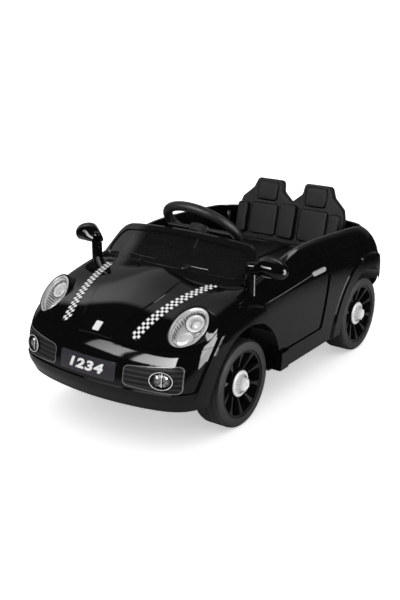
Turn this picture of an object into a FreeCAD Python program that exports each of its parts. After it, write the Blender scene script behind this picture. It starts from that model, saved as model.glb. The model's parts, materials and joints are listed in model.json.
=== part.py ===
import FreeCAD, Part
import math
import os

# Child's electric ride-on car, millimetres, +Z up, nose towards -Y, +X is the car's left side.
# The ground under the middle of the car is the origin.

Vec = FreeCAD.Vector
X_AXIS = Vec(1, 0, 0)
Y_AXIS = Vec(0, 1, 0)
Z_AXIS = Vec(0, 0, 1)
ORIGIN = Vec(0, 0, 0)

# Driving sizes of the body form
HALF_WIDTH = 257.0          # widest half width of the shell
NOSE_REACH = 506.0          # middle of the car to the chin lip
TAIL_REACH = 510.2          # middle of the car to the tail
BODY_TOP = 370.0            # height of the door tops
FRONT_BOW = 46.0            # how far the nose sweeps back towards its corners
REAR_BOW = 22.0
CORNER_POWER = 12.0         # squareness of the plan outline
WALL = 5.0                  # moulded wall
PANEL_GAP = 0.9             # shut line between moulded panels
SEAT_GAP = 0.3              # clearance between curved faces that meet
TOUCH = 0.05                # clearance of a piece pushed into a moulded pocket
FAR = 900.0                 # reach of cutting blocks, beyond the whole car
TINY = 0.001                # lengths below this count as nothing
CORNER_LIMIT_SHARE = 0.49   # a rounded corner takes less than half of an edge

# One row per hoop: half width, nose and tail reach as shares of the three sizes above,
# then heights as shares of BODY_TOP at nose, nose corner, side, tail corner and tail.
HOOP_SHARES = (
    (0.950, 0.935, 0.925, 0.108, 0.108, 0.108, 0.108, 0.108),
    (0.972, 0.960, 0.958, 0.285, 0.285, 0.225, 0.300, 0.310),
    (0.990, 1.002, 0.990, 0.350, 0.350, 0.320, 0.410, 0.400),
    (1.002, 1.004, 1.002, 0.440, 0.440, 0.480, 0.520, 0.500),
    (1.005, 0.988, 1.000, 0.555, 0.555, 0.640, 0.630, 0.620),
    (0.998, 0.960, 0.978, 0.648, 0.640, 0.765, 0.725, 0.730),
    (0.980, 0.908, 0.940, 0.712, 0.705, 0.865, 0.812, 0.825),
    (0.948, 0.808, 0.880, 0.805, 0.785, 0.940, 0.890, 0.905),
    (0.905, 0.680, 0.805, 0.880, 0.846, 0.990, 0.945, 0.955),
    (0.840, 0.530, 0.720, 0.930, 0.875, 1.005, 0.975, 0.980),
    (0.740, 0.400, 0.630, 0.945, 0.890, 0.975, 0.970, 0.980),
    (0.420, 0.200, 0.400, 0.900, 0.900, 0.900, 0.900, 0.900),
)
HOOP_ANGLES = (0, 12, 24, 33, 40, 45, 50, 58, 72, 90, 108, 122, 130, 135, 140, 147, 156, 168)

# Wheels and axles
FRONT_AXLE_Y = -244.0
REAR_AXLE_Y = 346.0
TYRE_RADIUS = 104.0
TYRE_WIDTH = 70.0
TYRE_OUTER_X = 243.0
TYRE_SHOULDER = 9.0
TYRE_GROOVE_DEPTH = 2.5
TYRE_GROOVE_WIDTH = 4.0
TREAD_GROOVE_SHARES = (0.24, 0.5, 0.76)
RIM_RADIUS = 81.6
RIM_WALL = 4.0
RIM_LIP = 3.0
RIM_INSET = 2.5             # rim edge behind the tyre side
HUB_FACE_INSET = 9.0        # hub plate face behind the tyre side
HUB_PLATE_RADIUS = 33.0
HUB_PLATE_THICK = 12.0
HUB_BOSS_RADIUS = 20.0
HUB_BOSS_INSET = 5.0        # inner end of the boss from the tyre's inner side
SPOKE_COUNT = 10
SPOKE_THICK = 9.0
SPOKE_ROOT = 7.0            # spoke width at the hub
SPOKE_TIP = 17.0            # spoke width at the rim
SPOKE_WAIST_SHARE = 0.55
SPOKE_WAIST = 6.0
SPOKE_RISE = 8.0
AXLE_RADIUS = 6.0
RUNNING_FIT = 0.08          # radial clearance of turning pairs
CAP_FLANGE_THICK = 3.0
CAP_FLANGE_RADIUS = 31.0
CAP_CONE_RADIUS = 22.0
CAP_CONE_HEIGHT = 9.0
CAP_BOSS_RADIUS = 13.0
CAP_BOSS_HEIGHT = 6.0
CAP_LOBE_RADIUS = 3.0
CAP_LOBES = 6
NUT_ACROSS = 17.0
NUT_THICK = 6.5
NUT_POCKET_RADIUS = 13.0

# Arches and flares
ARCH_RADIUS = 146.0
FLARE_RADIUS = 184.0
REAR_ARCH_RADIUS = 136.0
REAR_FLARE_RADIUS = 174.0
FLARE_PROUD = 5.0
FLARE_SLOPE = 10.0
LINER_WALL = 4.0
FRONT_LINER_X = 130.0
REAR_LINER_X = 164.0

# Lower edge of the body, seen from the side
NOSE_HEM_Z = 106.0
SILL_HEM_Z = 88.0
TAIL_HEM_Z = 130.0

# Cockpit opening and panels
COCKPIT_HALF = 222.0
COCKPIT_REAR_Y = 404.0
COCKPIT_CORNER = 55.0
COCKPIT_WALL_FOOT_Z = 215.0
SCREEN_BASE_Y = -247.0      # foot of the windscreen at the middle
SCREEN_BOW = 64.0           # sweep of the foot towards the sides
SCREEN_TOP_Y = -150.0
SCREEN_TOP_BOW = 26.0
SCREEN_TOP_Z = 412.0
SCREEN_TOP_HALF = 200.0
SCREEN_BASE_HALF = 219.0
SCREEN_FRAME_THICK = 6.0
SCREEN_PANE_THICK = 3.0
SCREEN_BORDER = 9.0
SCREEN_LOWER_BORDER = 3.0
SCREEN_CORNER = 42.0
SCREEN_CORNER_DROP = 18.0   # top corners lower than the top middle
SCREEN_BASE_Z = 344.0       # foot of the windscreen at the middle
SCREEN_BASE_DROP = 14.0     # foot lower towards the sides
SCREEN_SINK = 14.0          # frame carried below its foot line before it is trimmed to the cowl
SCREEN_SPARE_SHARE = 0.3    # sheet carried past foot and top before it is trimmed
SCREEN_ARC_SHARES = (-1.0, -0.75, -0.5, -0.25, 0.0, 0.25, 0.5, 0.75, 1.0)
COWL_LAND = 17.0            # cowl behind the foot of the windscreen
BUMPER_TOP_Z = 240.0
CHIN_TOP_Z = 151.0
CHIN_PROUD = 4.0
TAIL_SPLIT_Z = 236.0
BONNET_NOSE_HALF = 122.0
BONNET_REAR_HALF = 186.0
BONNET_STOP = 9.0           # bonnet ends this far before the windscreen
BULGE_PROUD = 1.6           # raised middle of the bonnet
BULGE_CORNER = 8.0
BULGE_HALVES = (87.0, 88.0, 70.0, 48.0)
BULGE_PLACES = (-266.0, -351.0, -410.0, -476.0)
DOOR_TOP_Z = 281.0
DOOR_FRONT_Y = -176.0
DOOR_REAR_TOP_Y = 140.0
DOOR_REAR_LOW_Y = 104.0
DOOR_LOW_Z = 136.0
DOOR_DEPTH = 3.5
DOOR_CORNER = 12.0

# Lamps and nose fittings
HEADLIGHT_X = 197.0
HEADLIGHT_Z = 277.0
HEADLIGHT_LONG = 54.0       # half length
HEADLIGHT_SHORT = 38.0      # half width
HEADLIGHT_DEPTH = 34.0
HEADLIGHT_RIM = 5.0
HEADLIGHT_PROUD = 1.0
HEADLIGHT_SEAT = 4.0
HEADLIGHT_DOME = 9.0
HEADLIGHT_TURN = -4.0
HEADLIGHT_FACE_SHARE = 0.32 # how far the lamp looks ahead of the skin's own direction
POD_WALL = 4.0
POD_SPREAD = 9.0
POD_DEPTH = 26.0
LENS_THICK = 2.0
LAMP_RADIUS = 17.0
LAMP_HEIGHT = 20.0
LAMP_SHIFT_SHARE = 0.38
REFLECTOR_LONG = 21.0
REFLECTOR_SHORT = 17.0
PLATE_HALF = 79.0
PLATE_LOW_Z = 161.0
PLATE_HIGH_Z = 203.0
PLATE_CORNER = 5.0
PLATE_PROUD = 2.0
PLATE_POCKET = 1.5
GRILLE_INNER_X = 98.0
GRILLE_OUTER_X = 228.0
GRILLE_LOW_Z = 152.0
GRILLE_HIGH_Z = 214.0
GRILLE_INNER_HIGH_Z = 203.0
GRILLE_INNER_LOW_Z = 159.0
GRILLE_CORNER = 11.0
GRILLE_BEAD = 1.6
GRILLE_POCKET = 3.5
GRILLE_SINK = 1.2
BEAD_PROUD = 0.8
GRILLE_RIBS = 5
GRILLE_RIB_THICK = 3.0
FOG_X = 187.0
FOG_Z = 181.0
FOG_LONG = 27.0
FOG_SHORT = 20.0
FOG_RIM = 2.5
FOG_LENGTH = 16.0
FOG_PROUD = 3.0
FOG_DOME = 6.0
BADGE_HALF = 9.0
BADGE_PROUD = 2.6
BADGE_SINK = 1.2
BADGE_Y = -462.0
TAIL_LAMP_X = 176.0
TAIL_LAMP_Z = 268.0
TAIL_LAMP_LONG = 34.0
TAIL_LAMP_SHORT = 20.0
TAIL_LAMP_POCKET = 3.0
TAIL_LAMP_PROUD = 3.0
HANDLE_FRONT_Y = 44.0
HANDLE_REAR_Y = 106.0
HANDLE_Z = 297.0
HANDLE_HALF = 5.5
HANDLE_PROUD = 4.0
HANDLE_BITE = 3.0
HANDLE_END_SHARE = 0.9

# Mirrors
MIRROR_POST_X = 229.0
MIRROR_POST_Y = -203.0
MIRROR_POST_LONG = 15.0
MIRROR_POST_SHORT = 10.0
MIRROR_JOINT_Z = 357.0
MIRROR_PIN_RADIUS = 4.0
MIRROR_PIN_LENGTH = 14.0
MIRROR_HALF_LONG = 45.0
MIRROR_HALF_TALL = 24.0
MIRROR_DEPTH = 30.0
MIRROR_LEAN = 12.0
MIRROR_SHIFT = 18.0         # head centre behind the post
MIRROR_REACH = 39.0         # head centre outboard of the post
MIRROR_RISE = 17.0
MIRROR_GLASS_THICK = 2.0
MIRROR_RIM = 4.0
MIRROR_SECTION_SHARES = (-0.97, -0.85, -0.6, -0.3, 0.0, 0.25)
MIRROR_OUTLINE_SHARES = ((-1.0, -0.72), (-0.4, -0.93), (0.3, -1.0), (0.84, -0.92), (1.0, -0.45),
                         (0.94, 0.12),
                         (0.64, 0.66), (0.12, 0.95), (-0.36, 0.9), (-0.7, 0.4))

# Steering
COLUMN_TILT = 48.0          # column axis above the horizontal
WHEEL_Y = -64.0
WHEEL_Z = 403.0
WHEEL_RADIUS = 95.0
WHEEL_GRIP = 12.0
WHEEL_HUB_RADIUS = 30.0
WHEEL_HUB_DROP = 26.0
WHEEL_SPOKE_HALF = 12.0
WHEEL_SPOKE_THICK = 9.0
WHEEL_SPOKE_ANGLES = (0, 90, 180)
HORN_RADIUS = 21.0
HORN_HEIGHT = 7.0
HORN_TRAVEL = 2.0
COLUMN_RADIUS = 6.0
COLUMN_BEND = 11.0
CRANK_REACH = 28.0
CRANK_CLEAR = 19.0          # crank above the middle of the tie rod
CRANK_PIN_PAST = 12.0       # crank pin carried on below the tie rod
HUB_WEB = 3.0               # wheel hub between horn pocket and column end
BUSH_RADIUS = 13.0
BUSH_LENGTH = 16.0
BUSH_FLANGE = 3.0
BRACKET_RISE = 70.0
BRACKET_HALF = 16.0
BRACKET_THICK = 12.0
BRACKET_FOOT = 26.0
BUSH_PLACE = 70.0           # wheel centre to the bush along the column
KING_X = 150.0
KING_RADIUS = 5.0
KING_HEAD = 9.0
KING_HEAD_THICK = 5.0
SLEEVE_RADIUS = 11.0
SLEEVE_LOW_Z = 84.0
SLEEVE_HIGH_Z = 124.0
LUG_THICK = 6.0
LUG_GAP = 0.3
FORK_HALF = 14.0
FORK_BACK_X = 131.0
FORK_ROOT_X = 120.0
FORK_END_X = 163.0
BEAM_LOW_Z = 95.0
BEAM_HIGH_Z = 112.0
ARM_LENGTH = 45.0
ARM_HALF = 8.0
ARM_THICK = 7.0
TIE_THICK = 5.0
TIE_HALF = 10.0
TIE_PIN_RADIUS = 4.0
TIE_SLOT_CLEAR = 0.8
TIE_SLOT_FRONT = 16.0
TIE_SLOT_REAR = 12.0
TIE_PAD_HALF = 15.0
TIE_PAD_FRONT = 26.0
TIE_PIN_SPARE = 3.0
STUB_COLLAR_RADIUS = 10.0

# Floor, shelf and rear deck
FLOOR_Z = 78.0
TUB_WALL = 4.0
TUB_HALF = 218.0
TUB_FRONT_Y = -92.0
TUB_REAR_Y = 186.0
FOOT_HALF = 122.0
FOOT_FRONT_Y = -180.0
FOOT_WALL_Z = 236.0
SHELF_FRONT_Y = -425.0
SHELF_HALF = 118.0
SHELF_THICK = 4.0
SHELF_RIM_Z = 140.0
SHELF_WINDOW_FRONT_Y = -370.0
SHELF_WINDOW_REAR_Y = -264.0
SHELF_WINDOW_HALF = 70.0
DECK_Z = 190.0
DECK_HALF = 160.0
DECK_REAR_Y = 456.0
HANGER_X = 108.0
HANGER_THICK = 8.0
HANGER_HALF = 20.0
FLANGE_REACH = 10.0

# Drive train and battery
GEARBOX_OUTER_X = 164.0
GEARBOX_RADIUS = 34.0
GEARBOX_REACH = 58.0
GEARBOX_NOSE_RADIUS = 24.0
MOTOR_RADIUS = 18.0
MOTOR_LENGTH = 57.0
MOTOR_SHAFT_RADIUS = 3.0
MOTOR_SHAFT_LENGTH = 9.0
MOTOR_CAP = 4.0
DOG_RADIUS = 24.0
DOG_LUGS = 5
DOG_LUG_RADIUS = 3.5
DOG_LUG_PLACE = 17.0
DOG_LUG_LENGTH = 6.0
BATTERY_LONG = 106.0
BATTERY_WIDE = 70.0
BATTERY_TALL = 48.0
BATTERY_Y = 262.0
TERMINAL_RADIUS = 4.0
TERMINAL_TALL = 6.0
TERMINAL_SHARE = 0.36
STRAP_WIDTH = 18.0
STRAP_THICK = 2.5
STRAP_FOOT = 14.0
CONTROL_LONG = 70.0
CONTROL_WIDE = 50.0
CONTROL_TALL = 26.0
CONTROL_Y = 410.0

# Seat
SEAT_FRONT_Y = 116.0
SEAT_REAR_Y = 334.0
SEAT_TOP_Z = 274.0
SEAT_PAD_THICK = 16.0
SEAT_HALF = 172.0
SEAT_BOX_HALF = 154.0
SEAT_EDGE = 7.0
SEAT_DISH = 6.0
SEAT_DISH_INNER_X = 22.0
SEAT_DISH_OUTER_X = 158.0
SEAT_DISH_MARGIN = 26.0
SOFT_SHARE = 0.8
SEAT_SOCKET_X = -110.0
SOCKET_RADIUS = 9.0
SOCKET_BORE = 2.75
SOCKET_LENGTH = 22.0
SOCKET_FLANGE = 13.0
SOCKET_FLANGE_THICK = 2.5
SOCKET_Z = 238.0
BACK_LEAN = 14.0
BACK_FOOT_Y = 336.0
BACK_THICK = 22.0
BACK_PAD = 7.0
BACK_EDGE = 5.0
BACK_FOOT_Z = 262.0
BACK_TOP_Z = 447.0
BACK_HALF = 170.0
BACK_SHOULDER_X = 162.0
BACK_SHOULDER_Z = 388.0
BACK_SIDE_Z = 357.0
BACK_NECK_X = 129.0
BACK_NECK_Z = 418.0
BACK_HEAD_OUT_X = 117.0
BACK_HEAD_IN_X = 37.0
BACK_NOTCH_X = 33.0
BACK_NOTCH_TOP_Z = 416.0
BACK_NOTCH_Z = 388.0
BACK_CORNER = 12.0
PANEL_IN_X = 36.0
PANEL_OUT_X = 124.0
PANEL_LOW_Z = 284.0
PANEL_HIGH_Z = 376.0
HEAD_PAD_IN_X = 45.0
HEAD_PAD_OUT_X = 112.0
HEAD_PAD_LOW_Z = 384.0
HEAD_PAD_HIGH_Z = 440.0
BOLSTER_IN_X = 131.0
BOLSTER_OUT_X = 166.0
BOLSTER_HIGH_Z = 372.0
BOLSTER_PROUD = 16.0
SPINE_HALF = 27.0
SPINE_HIGH_Z = 382.0

# Dash, pedal and switches
DASH_FRONT_Y = -236.0
DASH_TOP_Z = 348.0
DASH_BROW_Y = -122.0
DASH_FACE_Y = -106.0
DASH_BROW = 12.0
DASH_DROP = 14.0
BOSS_RADIUS = 24.0
BOSS_LENGTH = 60.0
DASH_LOW_Z = 262.0
DASH_WALL = 4.0
DASH_EDGE_GAP = 0.4
CLUSTER_RADIUS = 34.0
CLUSTER_SPREAD = 62.0
CLUSTER_Z = 322.0
CLUSTER_PROUD = 4.0
CLUSTER_RING = 4.0
SWITCH_X = 134.0
SWITCH_Z = 312.0
SWITCH_HALF_WIDE = 8.0
SWITCH_HALF_TALL = 13.0
SWITCH_DEPTH = 16.0
SWITCH_RIM = 3.0
SWITCH_PROUD = 2.0
ROCKER_FOOT = 5.0
BUTTON_TRAVEL = 2.5
ROCKER_SWELL = 3.0
ROCKER_PIVOT = 3.0          # pivot of the rocker behind the dash face
ROCKER_PIN_RADIUS = 2.0
ROCKER_PIN_REACH = 2.0
PEDAL_X = -66.0
PEDAL_Y = -112.0
PEDAL_HALF = 30.0
PEDAL_LENGTH = 60.0
PEDAL_THICK = 6.0
PEDAL_ANGLE = 34.0
PEDAL_PIN_RADIUS = 3.0
PEDAL_EYE_RADIUS = 6.0
PEDAL_PIN_Z = 92.0
PEDAL_CHEEK = 6.0
PEDAL_RIBS = 5
PEDAL_RIB = 2.0


# Small helpers

def box(x0, x1, y0, y1, z0, z1):
    return Part.makeBox(x1 - x0, y1 - y0, z1 - z0, Vec(x0, y0, z0))


def rod(start, axis, radius, length):
    return Part.makeCylinder(radius, length, start, axis)


def tube(start, axis, outer, inner, length):
    return rod(start, axis, outer, length).cut(rod(start, axis, inner, length))


def mirrored(shape):
    return shape.mirror(ORIGIN, X_AXIS)


def fused(shapes):
    result = shapes[0].fuse(list(shapes[1:])) if len(shapes) > 1 else shapes[0]
    return result.removeSplitter()


def largest(shape):
    solids = sorted(shape.Solids, key=lambda s: s.Volume)
    return solids[len(solids) - 1]


def corner_wire(points, radius):
    """Closed wire through flat points with every corner rounded by the radius."""
    edges = []
    count = len(points)
    ends = []
    for i in range(count):
        here = points[i]
        back = points[i - 1] - here
        ahead = points[(i + 1) % count] - here
        reach_back = back.Length
        reach_ahead = ahead.Length
        back.normalize()
        ahead.normalize()
        turn = back.getAngle(ahead)
        run = radius / math.tan(turn / 2) if radius else 0
        run = min(run, reach_back * CORNER_LIMIT_SHARE, reach_ahead * CORNER_LIMIT_SHARE)
        start = here + back * run
        end = here + ahead * run
        middle_way = back + ahead
        if radius and middle_way.Length > TINY:
            middle_way.normalize()
            bend = run * math.tan(turn / 2)
            centre = here + middle_way * (bend / math.sin(turn / 2))
            middle = centre - middle_way * bend
            ends.append((start, middle, end))
        else:
            ends.append((here, None, here))
    for i in range(count):
        start, middle, end = ends[i]
        if middle is not None:
            edges.append(Part.Arc(start, middle, end).toShape())
        follow = ends[(i + 1) % count][0]
        if (follow - end).Length > TINY:
            edges.append(Part.makeLine(end, follow))
    return Part.Wire(edges)


def prism_x(places, x0, x1, radius=0):
    wire = corner_wire([Vec(x0, y, z) for y, z in places], radius)
    return Part.Face(wire).extrude(Vec(x1 - x0, 0, 0))


def prism_y(places, y0, y1, radius=0):
    wire = corner_wire([Vec(x, y0, z) for x, z in places], radius)
    return Part.Face(wire).extrude(Vec(0, y1 - y0, 0))


def prism_z(places, z0, z1, radius=0):
    wire = corner_wire([Vec(x, y, z0) for x, y in places], radius)
    return Part.Face(wire).extrude(Vec(0, 0, z1 - z0))


def rectangle(u0, u1, v0, v1):
    return [(u0, v0), (u1, v0), (u1, v1), (u0, v1)]


def turned(profile, axis_start, axis):
    """Solid of revolution of a closed list of 3D places."""
    wire = Part.makePolygon(profile + [profile[0]])
    return Part.Face(wire).revolve(axis_start, axis, 360)


def rounded(shape, radius, chosen):
    """Rounds the chosen edges."""
    return shape.makeFillet(radius, [e for e in shape.Edges if chosen(e)])


def ellipse_prism(long_half, short_half, low, high):
    """Upright oval block with its long axis along Y."""
    curve = Part.Ellipse(ORIGIN, long_half, short_half).toShape()
    face = Part.Face(Part.Wire([curve]))
    face.rotate(ORIGIN, Z_AXIS, 90)
    face.translate(Vec(0, 0, low))
    return face.extrude(Vec(0, 0, high - low))


def ellipse_wire(long_half, short_half, height):
    curve = Part.Wire([Part.Ellipse(ORIGIN, long_half, short_half).toShape()])
    curve.rotate(ORIGIN, Z_AXIS, 90)
    curve.translate(Vec(0, 0, height))
    return curve


def oval_dome(long_half, short_half, rise):
    """Upper half of an oval lens that stands on the XY plane."""
    ball = Part.makeSphere(1, ORIGIN, Z_AXIS, 0, 90, 360)
    stretch = FreeCAD.Matrix()
    stretch.scale(short_half, long_half, rise)
    return ball.transformGeometry(stretch)


def save(name, shape):
    shape.exportStep("parts/" + name + ".step")


# The body form

def spline_value(values, angle):
    """Smooth run through five heights set at 0, 45, 90, 135 and 180 degrees."""
    step = 45.0
    place = min(max(angle / step, 0.0), 3.999999)
    first = int(place)
    part = place - first
    before = values[abs(first - 1)]
    here = values[first]
    there = values[first + 1]
    after = values[first + 2] if first + 2 < len(values) else values[len(values) - 2]
    slope_here = (there - before) / 2
    slope_there = (after - here) / 2
    square = part * part
    cube = square * part
    return ((2 * cube - 3 * square + 1) * here + (cube - 2 * square + part) * slope_here
            + (3 * square - 2 * cube) * there + (cube - square) * slope_there)


def hoop_point(shares, angle):
    """One place on a hoop; the angle runs from the nose (0) round the left side to the tail (180)."""
    sine = math.sin(math.radians(angle))
    cosine = math.cos(math.radians(angle))
    power = CORNER_POWER
    reach = (abs(sine) ** power + abs(cosine) ** power) ** (-1.0 / power)
    across = reach * sine
    along = reach * cosine
    if along >= 0:
        run = NOSE_REACH * shares[1] - FRONT_BOW * across * across
    else:
        run = TAIL_REACH * shares[2] - REAR_BOW * across * across
    height = BODY_TOP * spline_value(shares[3:], abs(angle))
    return Vec(HALF_WIDTH * shares[0] * across, -run * along, height)


def form_grid(offset):
    """Hoops of the body form, moved out (or in) along the skin by the offset."""
    around = [a for a in HOOP_ANGLES] + [180] + [-a for a in reversed(HOOP_ANGLES[1:])]
    grid = [[hoop_point(shares, angle) for shares in HOOP_SHARES] for angle in around]
    if offset == 0:
        return grid
    count = len(grid)
    last = len(grid[0]) - 1
    moved = []
    for i in range(count):
        row = []
        for j in range(last + 1):
            along = grid[(i + 1) % count][j] - grid[i - 1][j]
            up = grid[i][min(j + 1, last)] - grid[i][max(j - 1, 0)]
            normal = along.cross(up)
            normal.normalize()
            if j == 0 or j == last:
                normal = Vec(normal.x, normal.y, 0)
                normal.normalize()
            row.append(grid[i][j] + normal * offset)
        row[last] = row[last] + Vec(0, 0, offset)
        moved.append(row)
    return moved


def form_surface(offset):
    grid = form_grid(offset)
    count = len(grid)
    rows = len(grid[0])
    degree = 3
    around_knots = [float(i) for i in range(count + 1)]
    up_count = rows - degree + 1
    up_knots = [float(i) for i in range(up_count)]
    up_mults = [degree + 1] + [1] * (up_count - 2) + [degree + 1]
    surface = Part.BSplineSurface()
    surface.buildFromPolesMultsKnots(grid, [1] * (count + 1), up_mults, around_knots, up_knots,
                                     True, False, degree, degree)
    return surface


FORMS = {}


def form(offset):
    """Solid body form, its skin moved out by the offset."""
    if offset not in FORMS:
        side = form_surface(offset).toShape()
        rims = [e for e in side.Edges if e.BoundBox.ZLength < TOUCH and e.Length > HALF_WIDTH]
        caps = [Part.Face(Part.Wire([e])) for e in rims]
        shell = Part.Shell([side] + caps)
        shell.sewShape()
        FORMS[offset] = Part.Solid(shell)
    return FORMS[offset]


def layer(block, outer, inner):
    """The part of a block that lies between two offsets of the skin."""
    return block.common(form(outer)).cut(form(inner))


def skin_hit(start, direction):
    """First place where a line meets the skin, and the outward direction there."""
    line = Part.makeLine(start, start + direction * FAR)
    inside = form(0).common(line)
    places = sorted(((v.Point - start).Length, v.Point.x, v.Point.y, v.Point.z) for v in inside.Vertexes)
    point = Vec(places[0][1], places[0][2], places[0][3])
    surface = form_surface(0)
    u, v = surface.parameter(point)
    normal = surface.normal(u, v)
    if normal.dot(direction) > 0:
        normal = normal * -1
    return point, normal


# Plan outlines

def bow_places(half, middle_y, bow, count):
    """Places along a swept line across the car, from right to left."""
    places = []
    for i in range(count + 1):
        across = -1 + 2 * i / count
        places.append((half * across, middle_y + bow * across * across))
    return places


def cockpit_prism(grow, z0, z1):
    """Plan opening of the cockpit, grown outwards."""
    front = bow_places(COCKPIT_HALF + grow, SCREEN_BASE_Y + COWL_LAND - grow, SCREEN_BOW, 10)
    curve = Part.BSplineCurve()
    curve.interpolate([Vec(x, y, z0) for x, y in front])
    left = Vec(front[10][0], front[10][1], z0)
    right = Vec(front[0][0], front[0][1], z0)
    rear = COCKPIT_REAR_Y + grow
    bend = COCKPIT_CORNER + grow
    half = COCKPIT_HALF + grow
    diagonal = bend * (1 - math.sqrt(2) / 2)
    edges = [
        curve.toShape(),
        Part.makeLine(left, Vec(half, rear - bend, z0)),
        Part.Arc(Vec(half, rear - bend, z0), Vec(half - diagonal, rear - diagonal, z0),
                 Vec(half - bend, rear, z0)).toShape(),
        Part.makeLine(Vec(half - bend, rear, z0), Vec(bend - half, rear, z0)),
        Part.Arc(Vec(bend - half, rear, z0), Vec(diagonal - half, rear - diagonal, z0),
                 Vec(-half, rear - bend, z0)).toShape(),
        Part.makeLine(Vec(-half, rear - bend, z0), right),
    ]
    return Part.Face(Part.Wire(edges)).extrude(Vec(0, 0, z1 - z0))


def bonnet_prism(grow):
    """Plan outline of the bonnet, from beyond the nose to the foot of the windscreen."""
    rear = bow_places(BONNET_REAR_HALF + grow, SCREEN_BASE_Y - BONNET_STOP + grow,
                      SCREEN_BOW * (BONNET_REAR_HALF / SCREEN_BASE_HALF) ** 2, 8)
    nose = BONNET_NOSE_HALF + grow
    curve = Part.BSplineCurve()
    curve.interpolate([Vec(x, y, BUMPER_TOP_Z - grow) for x, y in rear])
    left = Vec(rear[8][0], rear[8][1], BUMPER_TOP_Z - grow)
    right = Vec(rear[0][0], rear[0][1], BUMPER_TOP_Z - grow)
    nose_left = Vec(nose, -FAR, BUMPER_TOP_Z - grow)
    nose_right = Vec(-nose, -FAR, BUMPER_TOP_Z - grow)
    bend_left = Vec(nose, -NOSE_REACH, BUMPER_TOP_Z - grow)
    bend_right = Vec(-nose, -NOSE_REACH, BUMPER_TOP_Z - grow)
    edges = [curve.toShape(), Part.makeLine(left, bend_left), Part.makeLine(bend_left, nose_left),
             Part.makeLine(nose_left, nose_right), Part.makeLine(nose_right, bend_right),
             Part.makeLine(bend_right, right)]
    return Part.Face(Part.Wire(edges)).extrude(Vec(0, 0, FAR))


def arch_cylinder(axle_y, radius, x0, x1):
    return rod(Vec(x0, axle_y, TYRE_RADIUS), X_AXIS, radius, x1 - x0)


def door_prism(grow, side):
    places = [(DOOR_FRONT_Y - grow, DOOR_TOP_Z + grow), (DOOR_REAR_TOP_Y + grow, DOOR_TOP_Z + grow),
              (DOOR_REAR_LOW_Y + grow, DOOR_LOW_Z - grow), (DOOR_FRONT_Y - grow, DOOR_LOW_Z - grow)]
    return prism_x(places, side * COCKPIT_HALF, side * FAR, DOOR_CORNER)


def grille_prism(grow, side):
    places = [(side * (GRILLE_INNER_X - grow), GRILLE_INNER_LOW_Z - grow),
              (side * (GRILLE_OUTER_X + grow), GRILLE_LOW_Z - grow),
              (side * (GRILLE_OUTER_X + grow), GRILLE_HIGH_Z + grow),
              (side * (GRILLE_INNER_X - grow), GRILLE_INNER_HIGH_Z + grow)]
    return prism_y(places, -FAR, -NOSE_REACH / 2, GRILLE_CORNER)


def plate_prism(grow):
    places = rectangle(-PLATE_HALF - grow, PLATE_HALF + grow, PLATE_LOW_Z - grow, PLATE_HIGH_Z + grow)
    return prism_y(places, -FAR, -NOSE_REACH / 2, PLATE_CORNER)


def hem_cutter():
    """Everything below the lower edge of the body."""
    front = FRONT_AXLE_Y
    rear = REAR_AXLE_Y
    places = [(-FAR, 0), (FAR, 0), (FAR, TAIL_HEM_Z), (rear, TAIL_HEM_Z), (rear, SILL_HEM_Z),
              (front, SILL_HEM_Z), (front, NOSE_HEM_Z), (-FAR, NOSE_HEM_Z)]
    return prism_x(places, -FAR, FAR)


def headlight_place(side):
    """Placement of a headlight: its own Z points out of the skin, its own Y runs up the wing."""
    point, normal = skin_hit(Vec(side * HEADLIGHT_X, -FAR, HEADLIGHT_Z), Y_AXIS)
    normal = normal - Y_AXIS * HEADLIGHT_FACE_SHARE
    normal.normalize()
    up = Y_AXIS - normal * Y_AXIS.dot(normal)
    up.normalize()
    across = up.cross(normal)
    frame = FreeCAD.Matrix(across.x, up.x, normal.x, point.x, across.y, up.y, normal.y, point.y,
                           across.z, up.z, normal.z, point.z, 0, 0, 0, 1)
    return FreeCAD.Placement(frame)


def at_headlight(shape, side):
    """Moves a shape built around the origin into the wing; the right one is the left one mirrored."""
    moved = shape.copy()
    moved.rotate(ORIGIN, Z_AXIS, HEADLIGHT_TURN)
    moved.transformShape(headlight_place(1).toMatrix(), True)
    return moved if side > 0 else mirrored(moved)


def tail_lamp_prism(grow, side):
    lamp = ellipse_prism(TAIL_LAMP_LONG + grow, TAIL_LAMP_SHORT + grow, 0, FAR)
    lamp.rotate(ORIGIN, Z_AXIS, 90)
    lamp.rotate(ORIGIN, X_AXIS, -90)
    lamp.translate(Vec(side * TAIL_LAMP_X, TAIL_REACH / 2, TAIL_LAMP_Z))
    return lamp


# Body panels

def arches():
    """Axle place, arch radius, flare radius and inner side of the wheel well, front and rear."""
    return ((FRONT_AXLE_Y, ARCH_RADIUS, FLARE_RADIUS, FRONT_LINER_X),
            (REAR_AXLE_Y, REAR_ARCH_RADIUS, REAR_FLARE_RADIUS, REAR_LINER_X))


def wheel_housings():
    """Wheel wells on both sides, out to the moulded liner's inner side."""
    wells = []
    for side in (1, -1):
        for axle_y, arch, flare, x_in in arches():
            ends = sorted((side * x_in, side * FAR))
            wells.append(arch_cylinder(axle_y, arch + LINER_WALL, ends[0], ends[1]))
    return wells


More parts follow.
